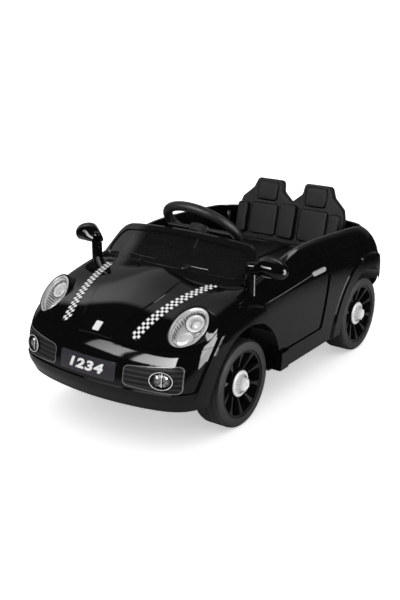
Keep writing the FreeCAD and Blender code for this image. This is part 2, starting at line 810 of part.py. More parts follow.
def body_panels():
    """Hollow body with flares, door panels, wheel wells and the open cockpit."""
    outer = form(0)
    for side in (1, -1):
        for axle_y, arch, flare, x_in in arches():
            start = Vec(side * (HALF_WIDTH - WALL - FLARE_SLOPE), axle_y, TYRE_RADIUS)
            cone = Part.makeCone(flare + FLARE_SLOPE, flare - FLARE_SLOPE,
                                 2 * FLARE_SLOPE + FLARE_PROUD, start, X_AXIS * side)
            outer = outer.fuse(cone.common(form(FLARE_PROUD)))
    outer = outer.cut(hem_cutter())
    for side in (1, -1):
        outer = outer.cut(door_prism(0, side).cut(form(-DOOR_DEPTH)))
    for axle_y, arch, flare, x_in in arches():
        outer = outer.cut(arch_cylinder(axle_y, arch, -FAR, FAR))
    wells = wheel_housings()
    room = cockpit_prism(0, COCKPIT_WALL_FOOT_Z - WALL, FAR)
    outer = outer.cut(room.cut(wells))
    hollow = form(-WALL)
    for side in (1, -1):
        hollow = hollow.cut(door_prism(WALL, side).cut(form(-WALL - DOOR_DEPTH)))
    hollow = hollow.cut(cockpit_prism(WALL, COCKPIT_WALL_FOOT_Z, FAR))
    hollow = hollow.cut(wells)
    return largest(outer.cut(hollow))


def split_body(shell):
    """Cuts the hollow form into shell, bonnet, front bumper and rear bumper."""
    half_gap = PANEL_GAP / 2
    nose_block = box(-FAR, FAR, -FAR, FRONT_AXLE_Y, 0, BUMPER_TOP_Z - half_gap)
    nose_clear = box(-FAR, FAR, -FAR, FRONT_AXLE_Y, 0, BUMPER_TOP_Z + half_gap)
    tail_block = box(-FAR, FAR, REAR_AXLE_Y, FAR, 0, TAIL_SPLIT_Z - half_gap)
    tail_clear = box(-FAR, FAR, REAR_AXLE_Y, FAR, 0, TAIL_SPLIT_Z + half_gap)
    front = largest(shell.common(nose_block))
    rear = largest(shell.common(tail_block))
    rest = shell.cut(nose_clear).cut(tail_clear)
    bonnet = largest(rest.common(bonnet_prism(-half_gap)))
    body = largest(rest.cut(bonnet_prism(half_gap)))
    chin = form(CHIN_PROUD).common(box(-FAR, FAR, -FAR, FRONT_AXLE_Y, NOSE_HEM_Z, CHIN_TOP_Z))
    chin = chin.cut(form(-WALL / 2)).cut(arch_cylinder(FRONT_AXLE_Y, ARCH_RADIUS, -FAR, FAR))
    front = front.fuse(chin).removeSplitter()
    return body, bonnet, largest(front), rear


def handle_prism(grow, side):
    places = rectangle(HANDLE_FRONT_Y - grow, HANDLE_REAR_Y + grow,
                       HANDLE_Z - HANDLE_HALF - grow, HANDLE_Z + HANDLE_HALF + grow)
    return prism_x(places, side * COCKPIT_HALF, side * FAR, HANDLE_HALF * HANDLE_END_SHARE)


def fog_place():
    point, normal = skin_hit(Vec(FOG_X, -FAR, FOG_Z), Y_AXIS)
    up = Z_AXIS - normal * Z_AXIS.dot(normal)
    up.normalize()
    across = up.cross(normal)
    return FreeCAD.Matrix(across.x, up.x, normal.x, point.x, across.y, up.y, normal.y, point.y,
                          across.z, up.z, normal.z, point.z, 0, 0, 0, 1)


def at_fog(shape, side):
    """Moves an oval built around the origin, long axis level, onto the bumper corner."""
    moved = shape.copy()
    moved.rotate(ORIGIN, Z_AXIS, 90)
    moved.transformShape(fog_place(), True)
    return moved if side > 0 else mirrored(moved)


def nose_fittings(front):
    """Grille inserts, beads, fog lamps and number plate; the bumper gets their pockets."""
    parts = {}
    inserts = []
    beads = []
    rings = []
    lenses = []
    hole = ellipse_prism(FOG_LONG + TOUCH, FOG_SHORT + TOUCH, -FOG_LENGTH - WALL, FOG_LENGTH)
    for side in (1, -1):
        front = front.cut(layer(grille_prism(0, side), FLARE_PROUD, -GRILLE_POCKET))
        front = front.cut(at_fog(hole, side))
        insert = layer(grille_prism(-TOUCH, side), -GRILLE_SINK, -GRILLE_POCKET)
        slats = []
        step = (GRILLE_HIGH_Z - GRILLE_LOW_Z) / (GRILLE_RIBS + 1)
        for i in range(GRILLE_RIBS):
            middle = GRILLE_LOW_Z + step * (i + 1)
            slat = box(-FAR, FAR, -FAR, 0, middle - GRILLE_RIB_THICK / 2, middle + GRILLE_RIB_THICK / 2)
            slats.append(slat)
        ribs = layer(grille_prism(-GRILLE_BEAD - TOUCH, side).common(Part.makeCompound(slats)),
                     -SEAT_GAP, -GRILLE_SINK - TOUCH)
        insert = insert.fuse(ribs).cut(at_fog(hole, side))
        inserts.append(insert)
        bead = layer(grille_prism(-TOUCH, side).cut(grille_prism(-GRILLE_BEAD, side)),
                     BEAD_PROUD, -GRILLE_SINK)
        beads.append(bead)
        ring = ellipse_prism(FOG_LONG, FOG_SHORT, -FOG_LENGTH, FOG_PROUD)
        ring = ring.cut(ellipse_prism(FOG_LONG - FOG_RIM, FOG_SHORT - FOG_RIM, -FOG_LENGTH + FOG_RIM,
                                      FOG_LENGTH))
        rings.append(at_fog(ring, side))
        lens = oval_dome(FOG_LONG - FOG_RIM - TOUCH, FOG_SHORT - FOG_RIM - TOUCH, FOG_DOME)
        lens.translate(Vec(0, 0, -FOG_DOME + FOG_PROUD))
        seat = ellipse_prism(FOG_LONG - FOG_RIM - TOUCH, FOG_SHORT - FOG_RIM - TOUCH,
                             -FOG_LENGTH + FOG_RIM, -FOG_DOME + FOG_PROUD)
        lenses.append(at_fog(seat.fuse(lens), side))
    parts["grille_inserts"] = Part.makeCompound(inserts)
    parts["grille_beads"] = Part.makeCompound(beads)
    parts["fog_lamp_rings"] = Part.makeCompound(rings)
    parts["fog_lamp_lenses"] = Part.makeCompound(lenses)
    front = front.cut(layer(plate_prism(0), FLARE_PROUD, -PLATE_POCKET))
    parts["number_plate"] = layer(plate_prism(-TOUCH), PLATE_PROUD, -PLATE_POCKET)
    return largest(front), parts


def headlight_set(body):
    parts = {}
    hole = ellipse_prism(HEADLIGHT_LONG + TOUCH, HEADLIGHT_SHORT + TOUCH, -HEADLIGHT_DEPTH - WALL,
                         HEADLIGHT_DEPTH)
    inner_long = HEADLIGHT_LONG - HEADLIGHT_RIM
    inner_short = HEADLIGHT_SHORT - HEADLIGHT_RIM
    wide_ring = ellipse_wire(HEADLIGHT_LONG + POD_WALL + POD_SPREAD,
                             HEADLIGHT_SHORT + POD_WALL + POD_SPREAD, -POD_DEPTH)
    top_ring = ellipse_wire(HEADLIGHT_LONG + POD_WALL, HEADLIGHT_SHORT + POD_WALL, 0)
    pod = Part.makeLoft([wide_ring, top_ring], True, True)
    rim = ellipse_prism(HEADLIGHT_LONG, HEADLIGHT_SHORT, -HEADLIGHT_SEAT - WALL, HEADLIGHT_PROUD)
    rim = rim.cut(ellipse_prism(inner_long, inner_short, -HEADLIGHT_DEPTH, HEADLIGHT_DEPTH))
    rim = rounded(rim, HEADLIGHT_RIM / 3, lambda e: e.BoundBox.ZMin > 0)
    bowl = ellipse_prism(inner_long - TOUCH, inner_short - TOUCH, -HEADLIGHT_DEPTH, -HEADLIGHT_SEAT)
    bowl = bowl.cut(ellipse_prism(inner_long - LENS_THICK, inner_short - LENS_THICK,
                                  -HEADLIGHT_DEPTH + LENS_THICK, 0))
    collar = ellipse_prism(HEADLIGHT_LONG, HEADLIGHT_SHORT, -HEADLIGHT_SEAT - WALL - LENS_THICK,
                           -HEADLIGHT_SEAT - WALL)
    collar = collar.cut(ellipse_prism(inner_long - LENS_THICK, inner_short - LENS_THICK,
                                      -HEADLIGHT_DEPTH, 0))
    bowl = bowl.fuse(collar).removeSplitter()
    dome = oval_dome(inner_long - TOUCH, inner_short - TOUCH, HEADLIGHT_DOME)
    hollow = oval_dome(inner_long - TOUCH - LENS_THICK, inner_short - TOUCH - LENS_THICK,
                       HEADLIGHT_DOME - LENS_THICK)
    skirt = ellipse_prism(inner_long - TOUCH, inner_short - TOUCH, -HEADLIGHT_SEAT, 0)
    skirt = skirt.cut(ellipse_prism(inner_long - TOUCH - LENS_THICK, inner_short - TOUCH - LENS_THICK,
                                    -HEADLIGHT_SEAT, 0))
    lens = dome.cut(hollow).fuse(skirt)
    shift = HEADLIGHT_LONG * LAMP_SHIFT_SHARE
    floor_z = -HEADLIGHT_DEPTH + LENS_THICK
    lamp = rod(Vec(0, shift, floor_z), Z_AXIS, LAMP_RADIUS, LAMP_HEIGHT)
    lamp = lamp.cut(rod(Vec(0, shift, floor_z + LENS_THICK), Z_AXIS, LAMP_RADIUS - LENS_THICK, LAMP_HEIGHT))
    bulb = Part.makeSphere(LAMP_RADIUS - LENS_THICK * 2, Vec(0, shift, floor_z + LENS_THICK))
    bulb = bulb.common(rod(Vec(0, shift, floor_z), Z_AXIS, LAMP_RADIUS, LAMP_HEIGHT))
    pan = ellipse_prism(REFLECTOR_LONG, REFLECTOR_SHORT, floor_z, floor_z + LAMP_HEIGHT / 2)
    pan = pan.cut(ellipse_prism(REFLECTOR_LONG - LENS_THICK, REFLECTOR_SHORT - LENS_THICK,
                                floor_z + LENS_THICK, 0))
    pan.translate(Vec(0, -shift, 0))
    lamp = lamp.fuse([bulb, pan]).removeSplitter()
    keep = form(-WALL / 2)
    for side in (1, -1):
        body = body.fuse(at_headlight(pod, side).cut(keep)).cut(at_headlight(hole, side))
    for name, shape in (("rims", rim), ("bowls", bowl), ("lenses", lens), ("lamps", lamp)):
        pair = [at_headlight(shape, side) for side in (1, -1)]
        parts["headlight_" + name] = Part.makeCompound(pair)
    return largest(body), parts


def body_fittings(body, bonnet):
    """Tail lamps, door handles and the bare badge, with their pockets."""
    parts = {}
    lamps = []
    handles = []
    for side in (1, -1):
        body = body.cut(layer(tail_lamp_prism(0, side), FLARE_PROUD * 2, -TAIL_LAMP_POCKET))
        lamps.append(layer(tail_lamp_prism(-TOUCH, side), TAIL_LAMP_PROUD, -TAIL_LAMP_POCKET))
        body = body.cut(layer(handle_prism(0, side), FLARE_PROUD * 2, -HANDLE_BITE))
        handles.append(layer(handle_prism(-TOUCH, side), HANDLE_PROUD, -HANDLE_BITE))
    parts["tail_lamps"] = Part.makeCompound(lamps)
    parts["door_handles"] = Part.makeCompound(handles)
    left = [(half, place) for half, place in zip(BULGE_HALVES, BULGE_PLACES)]
    right = [(-half, place) for half, place in reversed(left)]
    bulge = prism_z(left + right, BUMPER_TOP_Z, FAR, BULGE_CORNER)
    bonnet = bonnet.fuse(layer(bulge, BULGE_PROUD, -WALL / 2)).removeSplitter()
    badge = prism_z(rectangle(-BADGE_HALF, BADGE_HALF, BADGE_Y - BADGE_HALF, BADGE_Y + BADGE_HALF),
                    0, FAR, BADGE_HALF / 5)
    bonnet = bonnet.cut(layer(badge, FLARE_PROUD, -BADGE_SINK))
    parts["bonnet_badge"] = layer(badge, BADGE_PROUD, -BADGE_SINK)
    return largest(body), largest(bonnet), parts


# Windscreen

def screen_sheet(back, thick):
    """Raked sheet between the foot line and the top line, set back from the outer face."""
    steps = 8
    lean = Vec(0, math.sqrt(0.5), -math.sqrt(0.5))
    foot_line = []
    top_line = []
    for i in range(steps + 1):
        across = -1 + 2 * i / steps
        foot = Vec(SCREEN_BASE_HALF * across, SCREEN_BASE_Y + SCREEN_BOW * across * across,
                   SCREEN_BASE_Z - SCREEN_BASE_DROP * across * across)
        top = Vec(SCREEN_TOP_HALF * across, SCREEN_TOP_Y + SCREEN_TOP_BOW * across * across,
                  SCREEN_TOP_Z - SCREEN_CORNER_DROP * across * across)
        run = (top - foot) * SCREEN_SPARE_SHARE
        foot_line.append(foot - run + Vec((foot.x - top.x), 0, 0) + lean * back)
        top_line.append(top + run + lean * back)

    def band(line):
        near = Part.BSplineCurve()
        near.interpolate(line)
        far = Part.BSplineCurve()
        far.interpolate([p + lean * thick for p in reversed(line)])
        last = len(line) - 1
        return Part.Wire([near.toShape(), Part.makeLine(line[last], line[last] + lean * thick),
                          far.toShape(), Part.makeLine(line[0] + lean * thick, line[0])])

    return Part.makeLoft([band(foot_line), band(top_line)], True, True)


def screen_outline(inset, low):
    """Front view of the windscreen, drawn in from its edge; low is the raise of its lower edge."""
    top_half = SCREEN_TOP_HALF - inset
    base_half = SCREEN_BASE_HALF - inset
    top_z = SCREEN_TOP_Z - inset
    places = []
    for share in SCREEN_ARC_SHARES:
        places.append((base_half * share, SCREEN_BASE_Z - SCREEN_BASE_DROP * share * share + low))
    for share in reversed(SCREEN_ARC_SHARES):
        places.append((top_half * share, top_z - SCREEN_CORNER_DROP * share * share))
    return prism_y(places, -FAR, 0, SCREEN_CORNER - inset)


def windscreen():
    frame = screen_sheet(0, SCREEN_FRAME_THICK).common(screen_outline(0, -SCREEN_SINK))
    frame = frame.cut(screen_outline(SCREEN_BORDER, SCREEN_LOWER_BORDER))
    frame = largest(frame.cut(form(0)))
    pane = screen_sheet(SCREEN_PANE_THICK, SCREEN_PANE_THICK)
    pane = pane.common(screen_outline(SCREEN_BORDER + TOUCH, SCREEN_LOWER_BORDER + TOUCH))
    return frame, largest(pane)


# Wheels

def wheel_profile(places, axle_y):
    return [Vec(x, axle_y, TYRE_RADIUS + radius) for x, radius in places]


def tyre(axle_y):
    out = TYRE_OUTER_X
    inn = out - TYRE_WIDTH
    crown = TYRE_RADIUS
    shoulder = TYRE_SHOULDER
    soft = shoulder * (1 - math.sqrt(0.5))
    places = [(inn, RIM_RADIUS), (out, RIM_RADIUS), (out, crown - shoulder), (out - soft, crown - soft),
              (out - shoulder, crown)]
    for share in reversed(TREAD_GROOVE_SHARES):
        middle = inn + TYRE_WIDTH * share
        places += [(middle + TYRE_GROOVE_WIDTH / 2, crown),
                   (middle + TYRE_GROOVE_WIDTH / 4, crown - TYRE_GROOVE_DEPTH),
                   (middle - TYRE_GROOVE_WIDTH / 4, crown - TYRE_GROOVE_DEPTH),
                   (middle - TYRE_GROOVE_WIDTH / 2, crown)]
    places += [(inn + shoulder, crown), (inn + soft, crown - soft), (inn, crown - shoulder)]
    return turned(wheel_profile(places, axle_y), Vec(0, axle_y, TYRE_RADIUS), X_AXIS)


def rim(axle_y):
    out = TYRE_OUTER_X - RIM_INSET
    inn = TYRE_OUTER_X - TYRE_WIDTH + RIM_INSET
    hub_face = TYRE_OUTER_X - HUB_FACE_INSET
    hub_back = hub_face - HUB_PLATE_THICK
    boss_end = TYRE_OUTER_X - TYRE_WIDTH + HUB_BOSS_INSET
    centre = Vec(0, axle_y, TYRE_RADIUS)
    barrel = tube(Vec(inn, axle_y, TYRE_RADIUS), X_AXIS, RIM_RADIUS, RIM_RADIUS - RIM_WALL, out - inn)
    lip = turned(wheel_profile([(out, RIM_RADIUS), (out, RIM_RADIUS - RIM_WALL - RIM_LIP),
                                (out - RIM_LIP, RIM_RADIUS - RIM_WALL - RIM_LIP),
                                (out - 2 * RIM_LIP, RIM_RADIUS - RIM_WALL),
                                (out - 2 * RIM_LIP, RIM_RADIUS)], axle_y),
                 centre, X_AXIS)
    plate = rod(Vec(hub_back, axle_y, TYRE_RADIUS), X_AXIS, HUB_PLATE_RADIUS, HUB_PLATE_THICK)
    boss = rod(Vec(boss_end, axle_y, TYRE_RADIUS), X_AXIS, HUB_BOSS_RADIUS, hub_back - boss_end + TOUCH)
    spokes = []
    root = HUB_PLATE_RADIUS - RIM_LIP
    tip = RIM_RADIUS - RIM_WALL / 2
    waist = root + (tip - root) * SPOKE_WAIST_SHARE
    half_root = SPOKE_ROOT / 2
    half_waist = SPOKE_WAIST / 2
    half_tip = SPOKE_TIP / 2
    left = Part.BSplineCurve()
    left.interpolate([Vec(hub_back, -half_root, root), Vec(hub_back, -half_waist, waist),
                      Vec(hub_back, -half_tip, tip)])
    right = Part.BSplineCurve()
    right.interpolate([Vec(hub_back, half_tip, tip), Vec(hub_back, half_waist, waist),
                       Vec(hub_back, half_root, root)])
    wire = Part.Wire([left.toShape(),
                      Part.makeLine(Vec(hub_back, -half_tip, tip), Vec(hub_back, half_tip, tip)),
                      right.toShape(),
                      Part.makeLine(Vec(hub_back, half_root, root), Vec(hub_back, -half_root, root))])
    spoke = Part.Face(wire).extrude(Vec(SPOKE_THICK + SPOKE_RISE, 0, 0))
    slope = Part.makeCone(root, tip + SPOKE_RISE, SPOKE_RISE * 2,
                          Vec(hub_back + SPOKE_THICK - SPOKE_RISE / 2, 0, 0), X_AXIS)
    spoke = spoke.cut(slope)
    spoke.translate(centre)
    for i in range(SPOKE_COUNT):
        copy = spoke.copy()
        copy.rotate(centre, X_AXIS, 360 * i / SPOKE_COUNT)
        spokes.append(copy)
    whole = barrel.fuse([lip, plate, boss] + spokes)
    whole = whole.cut(rod(Vec(0, axle_y, TYRE_RADIUS), X_AXIS, AXLE_RADIUS + RUNNING_FIT, FAR))
    whole = whole.cut(rod(Vec(hub_back + HUB_PLATE_THICK / 4, axle_y, TYRE_RADIUS), X_AXIS,
                          NUT_POCKET_RADIUS, FAR))
    lug = rod(Vec(boss_end, axle_y, TYRE_RADIUS + DOG_LUG_PLACE), X_AXIS, DOG_LUG_RADIUS + TOUCH,
              DOG_LUG_LENGTH + TOUCH)
    for i in range(DOG_LUGS):
        copy = lug.copy()
        copy.rotate(centre, X_AXIS, 360 * i / DOG_LUGS)
        whole = whole.cut(copy)
    return whole.removeSplitter()


def hub_cap(axle_y):
    face = TYRE_OUTER_X - HUB_FACE_INSET
    centre = Vec(0, axle_y, TYRE_RADIUS)
    flange_top = face + CAP_FLANGE_THICK
    cone_top = flange_top + CAP_CONE_HEIGHT
    boss_top = cone_top + CAP_BOSS_HEIGHT
    soft = CAP_BOSS_HEIGHT / 3
    places = [(face, NUT_POCKET_RADIUS), (face, CAP_FLANGE_RADIUS),
              (flange_top - soft / 2, CAP_FLANGE_RADIUS),
              (flange_top, CAP_FLANGE_RADIUS - soft), (flange_top, CAP_CONE_RADIUS + soft),
              (cone_top, CAP_BOSS_RADIUS + soft),
              (cone_top, CAP_BOSS_RADIUS), (boss_top - soft, CAP_BOSS_RADIUS),
              (boss_top, CAP_BOSS_RADIUS - soft), (boss_top, 0),
              (cone_top, 0), (cone_top, CAP_BOSS_RADIUS - soft * 2), (face + soft, NUT_POCKET_RADIUS)]
    cap = turned(wheel_profile(places, axle_y), centre, X_AXIS)
    lobe = rod(Vec(cone_top - CAP_CONE_HEIGHT / 2, axle_y, TYRE_RADIUS + CAP_BOSS_RADIUS), X_AXIS,
               CAP_LOBE_RADIUS,
               CAP_CONE_HEIGHT / 2 + CAP_BOSS_HEIGHT - soft)
    lobes = []
    for i in range(CAP_LOBES):
        copy = lobe.copy()
        copy.rotate(centre, X_AXIS, 360 * i / CAP_LOBES)
        lobes.append(copy)
    return cap.fuse(lobes).removeSplitter()


def hex_nut(start_x, axle_y):
    places = []
    for i in range(6):
        angle = math.radians(60 * i)
        reach = NUT_ACROSS / math.sqrt(3)
        places.append((axle_y + reach * math.cos(angle), TYRE_RADIUS + reach * math.sin(angle)))
    nut = prism_x(places, start_x, start_x + NUT_THICK)
    return nut.cut(rod(Vec(start_x, axle_y, TYRE_RADIUS), X_AXIS, AXLE_RADIUS, NUT_THICK))


# Running gear

def nut_seat_x():
    return TYRE_OUTER_X - HUB_FACE_INSET - HUB_PLATE_THICK + HUB_PLATE_THICK / 4


def front_gear():
    parts = {}
    low = SLEEVE_LOW_Z - LUG_GAP
    high = SLEEVE_HIGH_Z + LUG_GAP
    beam = box(-FORK_ROOT_X, FORK_ROOT_X, FRONT_AXLE_Y - FORK_HALF, FRONT_AXLE_Y + FORK_HALF, BEAM_LOW_Z,
               BEAM_HIGH_Z)
    pins = []
    for side in (1, -1):
        ends = sorted((side * FORK_ROOT_X, side * FORK_END_X))
        fork = box(ends[0], ends[1], FRONT_AXLE_Y - FORK_HALF, FRONT_AXLE_Y + FORK_HALF, low - LUG_THICK,
                   high + LUG_THICK)
        ends = sorted((side * FORK_BACK_X, side * FAR))
        fork = fork.cut(box(ends[0], ends[1], -FAR, FAR, low, high))
        beam = beam.fuse(fork)
        bore_start = Vec(side * KING_X, FRONT_AXLE_Y, 0)
        beam = beam.cut(rod(bore_start, Z_AXIS, KING_RADIUS, FAR))
        pin = rod(Vec(side * KING_X, FRONT_AXLE_Y, low - LUG_THICK), Z_AXIS, KING_RADIUS,
                  high - low + 2 * LUG_THICK)
        head = rod(Vec(side * KING_X, FRONT_AXLE_Y, high + LUG_THICK), Z_AXIS, KING_HEAD, KING_HEAD_THICK)
        foot = rod(Vec(side * KING_X, FRONT_AXLE_Y, low - LUG_THICK - KING_HEAD_THICK), Z_AXIS,
                   KING_HEAD, KING_HEAD_THICK)
        pins.append(pin.fuse([head, foot]).removeSplitter())
    parts["front_beam"] = beam.removeSplitter()
    parts["king_pins"] = Part.makeCompound(pins)
    boss_end = TYRE_OUTER_X - TYRE_WIDTH + HUB_BOSS_INSET
    sleeve = rod(Vec(KING_X, FRONT_AXLE_Y, SLEEVE_LOW_Z), Z_AXIS, SLEEVE_RADIUS,
                 SLEEVE_HIGH_Z - SLEEVE_LOW_Z)
    stub = rod(Vec(KING_X, FRONT_AXLE_Y, TYRE_RADIUS), X_AXIS, AXLE_RADIUS,
               nut_seat_x() + NUT_THICK - KING_X)
    collar = rod(Vec(KING_X, FRONT_AXLE_Y, TYRE_RADIUS), X_AXIS, STUB_COLLAR_RADIUS,
                 boss_end - LUG_GAP - KING_X)
    tie_y = FRONT_AXLE_Y + ARM_LENGTH
    arm = box(KING_X - ARM_HALF, KING_X + ARM_HALF, FRONT_AXLE_Y, tie_y, SLEEVE_LOW_Z,
              SLEEVE_LOW_Z + ARM_THICK)
    tip = rod(Vec(KING_X, tie_y, SLEEVE_LOW_Z), Z_AXIS, ARM_HALF, ARM_THICK)
    knuckle = sleeve.fuse([stub, collar, arm, tip])
    knuckle = knuckle.cut(rod(Vec(KING_X, FRONT_AXLE_Y, 0), Z_AXIS, KING_RADIUS + RUNNING_FIT, FAR))
    knuckle = knuckle.cut(rod(Vec(KING_X, tie_y, 0), Z_AXIS, TIE_PIN_RADIUS + RUNNING_FIT, FAR))
    knuckle = knuckle.fuse(hex_nut(nut_seat_x() + LUG_GAP, FRONT_AXLE_Y))
    parts["knuckle_left"] = knuckle.removeSplitter()
    parts["knuckle_right"] = mirrored(parts["knuckle_left"])
    top = SLEEVE_LOW_Z - LUG_GAP
    slot_y, crank_turn, crank_tail = crank_line()
    bar = box(-KING_X, KING_X, tie_y - TIE_HALF, tie_y + TIE_HALF, top - TIE_THICK, top)
    pieces = []
    for side in (1, -1):
        pieces.append(rod(Vec(side * KING_X, tie_y, top - TIE_THICK), Z_AXIS, TIE_HALF, TIE_THICK))
        pieces.append(rod(Vec(side * KING_X, tie_y, top - TIE_THICK), Z_AXIS, TIE_PIN_RADIUS,
                          TIE_THICK + LUG_GAP + ARM_THICK + TIE_PIN_SPARE))
    pad = prism_z(rectangle(-TIE_PAD_HALF, TIE_PAD_HALF, slot_y - TIE_PAD_FRONT, tie_y),
                  top - TIE_THICK, top, TIE_PIN_RADIUS)
    bar = bar.fuse(pieces + [pad])
    slot_half = COLUMN_RADIUS + TIE_SLOT_CLEAR
    bar = bar.cut(prism_z(rectangle(-slot_half, slot_half, slot_y - TIE_SLOT_FRONT, slot_y + TIE_SLOT_REAR),
                          0, FAR, COLUMN_RADIUS))
    parts["tie_rod"] = bar.removeSplitter()
    return parts


def on_column(shape):
    """Moves a shape whose own Z is the column axis onto the car; the origin becomes the wheel centre."""
    moved = shape.copy()
    moved.rotate(ORIGIN, X_AXIS, COLUMN_TILT - 90)
    moved.translate(Vec(0, WHEEL_Y, WHEEL_Z))
    return moved


def crank_line():
    """Where the crank pin crosses the tie rod, then crank and pin end as lengths along the column."""
    sine = math.sin(math.radians(COLUMN_TILT))
    cosine = math.cos(math.radians(COLUMN_TILT))
    middle_z = SLEEVE_LOW_Z - LUG_GAP - TIE_THICK / 2
    run = (WHEEL_Z - CRANK_REACH * cosine - middle_z) / sine
    slot_y = WHEEL_Y - run * cosine + CRANK_REACH * sine
    return slot_y, run - CRANK_CLEAR / sine, run + CRANK_PIN_PAST


def column_bracket():
    """Lower bearing of the column, standing on the front shelf."""
    slot_y, crank_turn, crank_tail = crank_line()
    place = BRACKET_RISE - crank_turn
    sine = math.sin(math.radians(COLUMN_TILT))
    cosine = math.cos(math.radians(COLUMN_TILT))
    eye = Vec(0, WHEEL_Y + place * cosine, WHEEL_Z + place * sine)
    shelf_top = BEAM_HIGH_Z + SHELF_THICK
    bracket = box(-BRACKET_HALF, BRACKET_HALF, eye.y - BRACKET_THICK / 2, eye.y + BRACKET_THICK / 2,
                  shelf_top, eye.z + BRACKET_HALF)
    foot = box(-BRACKET_HALF, BRACKET_HALF, eye.y, eye.y + BRACKET_FOOT, shelf_top, shelf_top + SHELF_THICK)
    bracket = bracket.fuse(foot)
    bracket = bracket.cut(on_column(rod(Vec(0, 0, -FAR), Z_AXIS, COLUMN_RADIUS + RUNNING_FIT, FAR)))
    return bracket


def steering_set():
    parts = {}
    hub_top = -WHEEL_HUB_DROP / 4
    hub_low = -WHEEL_HUB_DROP
    pocket_low = hub_top - HORN_HEIGHT
    column_top = pocket_low - HUB_WEB
    grip = Part.makeTorus(WHEEL_RADIUS, WHEEL_GRIP)
    hub = rod(Vec(0, 0, hub_low), Z_AXIS, WHEEL_HUB_RADIUS, hub_top - hub_low)
    spokes = []
    for angle in WHEEL_SPOKE_ANGLES:
        spoke = box(0, WHEEL_RADIUS, -WHEEL_SPOKE_HALF, WHEEL_SPOKE_HALF, -WHEEL_SPOKE_THICK, 0)
        spoke = rounded(spoke, WHEEL_SPOKE_THICK / 3, lambda e: abs(e.Length - WHEEL_RADIUS) < TOUCH)
        spoke.translate(Vec(0, 0, hub_top - SEAT_GAP))
        spoke.rotate(ORIGIN, Z_AXIS, angle)
        spokes.append(spoke)
    wheel = grip.fuse([hub] + spokes)
    wheel = wheel.cut(rod(Vec(0, 0, pocket_low), Z_AXIS, HORN_RADIUS + RUNNING_FIT, FAR))
    wheel = wheel.cut(rod(Vec(0, 0, hub_low), Z_AXIS, COLUMN_RADIUS, column_top - hub_low))
    parts["steering_wheel"] = on_column(wheel.removeSplitter())
    horn = rod(Vec(0, 0, pocket_low + HORN_TRAVEL), Z_AXIS, HORN_RADIUS, HORN_HEIGHT)
    horn = rounded(horn, HORN_TRAVEL, lambda e: e.BoundBox.ZMin > pocket_low + HORN_HEIGHT)
    parts["horn_button"] = on_column(horn)
    bend = COLUMN_BEND
    soft = bend * (1 - math.sqrt(0.5))
    slot_y, crank_turn, crank_tail = crank_line()
    low = -crank_turn
    tail = -crank_tail
    edges = [
        Part.makeLine(Vec(0, 0, column_top), Vec(0, 0, low + bend)),
        Part.Arc(Vec(0, 0, low + bend), Vec(0, soft, low + soft), Vec(0, bend, low)).toShape(),
        Part.makeLine(Vec(0, bend, low), Vec(0, CRANK_REACH - bend, low)),
        Part.Arc(Vec(0, CRANK_REACH - bend, low), Vec(0, CRANK_REACH - soft, low - soft),
                 Vec(0, CRANK_REACH, low - bend)).toShape(),
        Part.makeLine(Vec(0, CRANK_REACH, low - bend), Vec(0, CRANK_REACH, tail)),
    ]
    circle = Part.Wire([Part.Circle(Vec(0, 0, column_top), Z_AXIS, COLUMN_RADIUS).toShape()])
    column = Part.Wire(edges).makePipeShell([circle], True, False)
    parts["steering_column"] = on_column(column)
    bush = tube(Vec(0, 0, -BUSH_PLACE - BUSH_LENGTH), Z_AXIS, BUSH_RADIUS, COLUMN_RADIUS + RUNNING_FIT,
                BUSH_LENGTH)
    flange = tube(Vec(0, 0, -BUSH_PLACE), Z_AXIS, BUSH_RADIUS + BUSH_FLANGE, COLUMN_RADIUS + RUNNING_FIT,
                  BUSH_FLANGE)
    parts["column_bush"] = on_column(bush.fuse(flange).removeSplitter())
    return parts


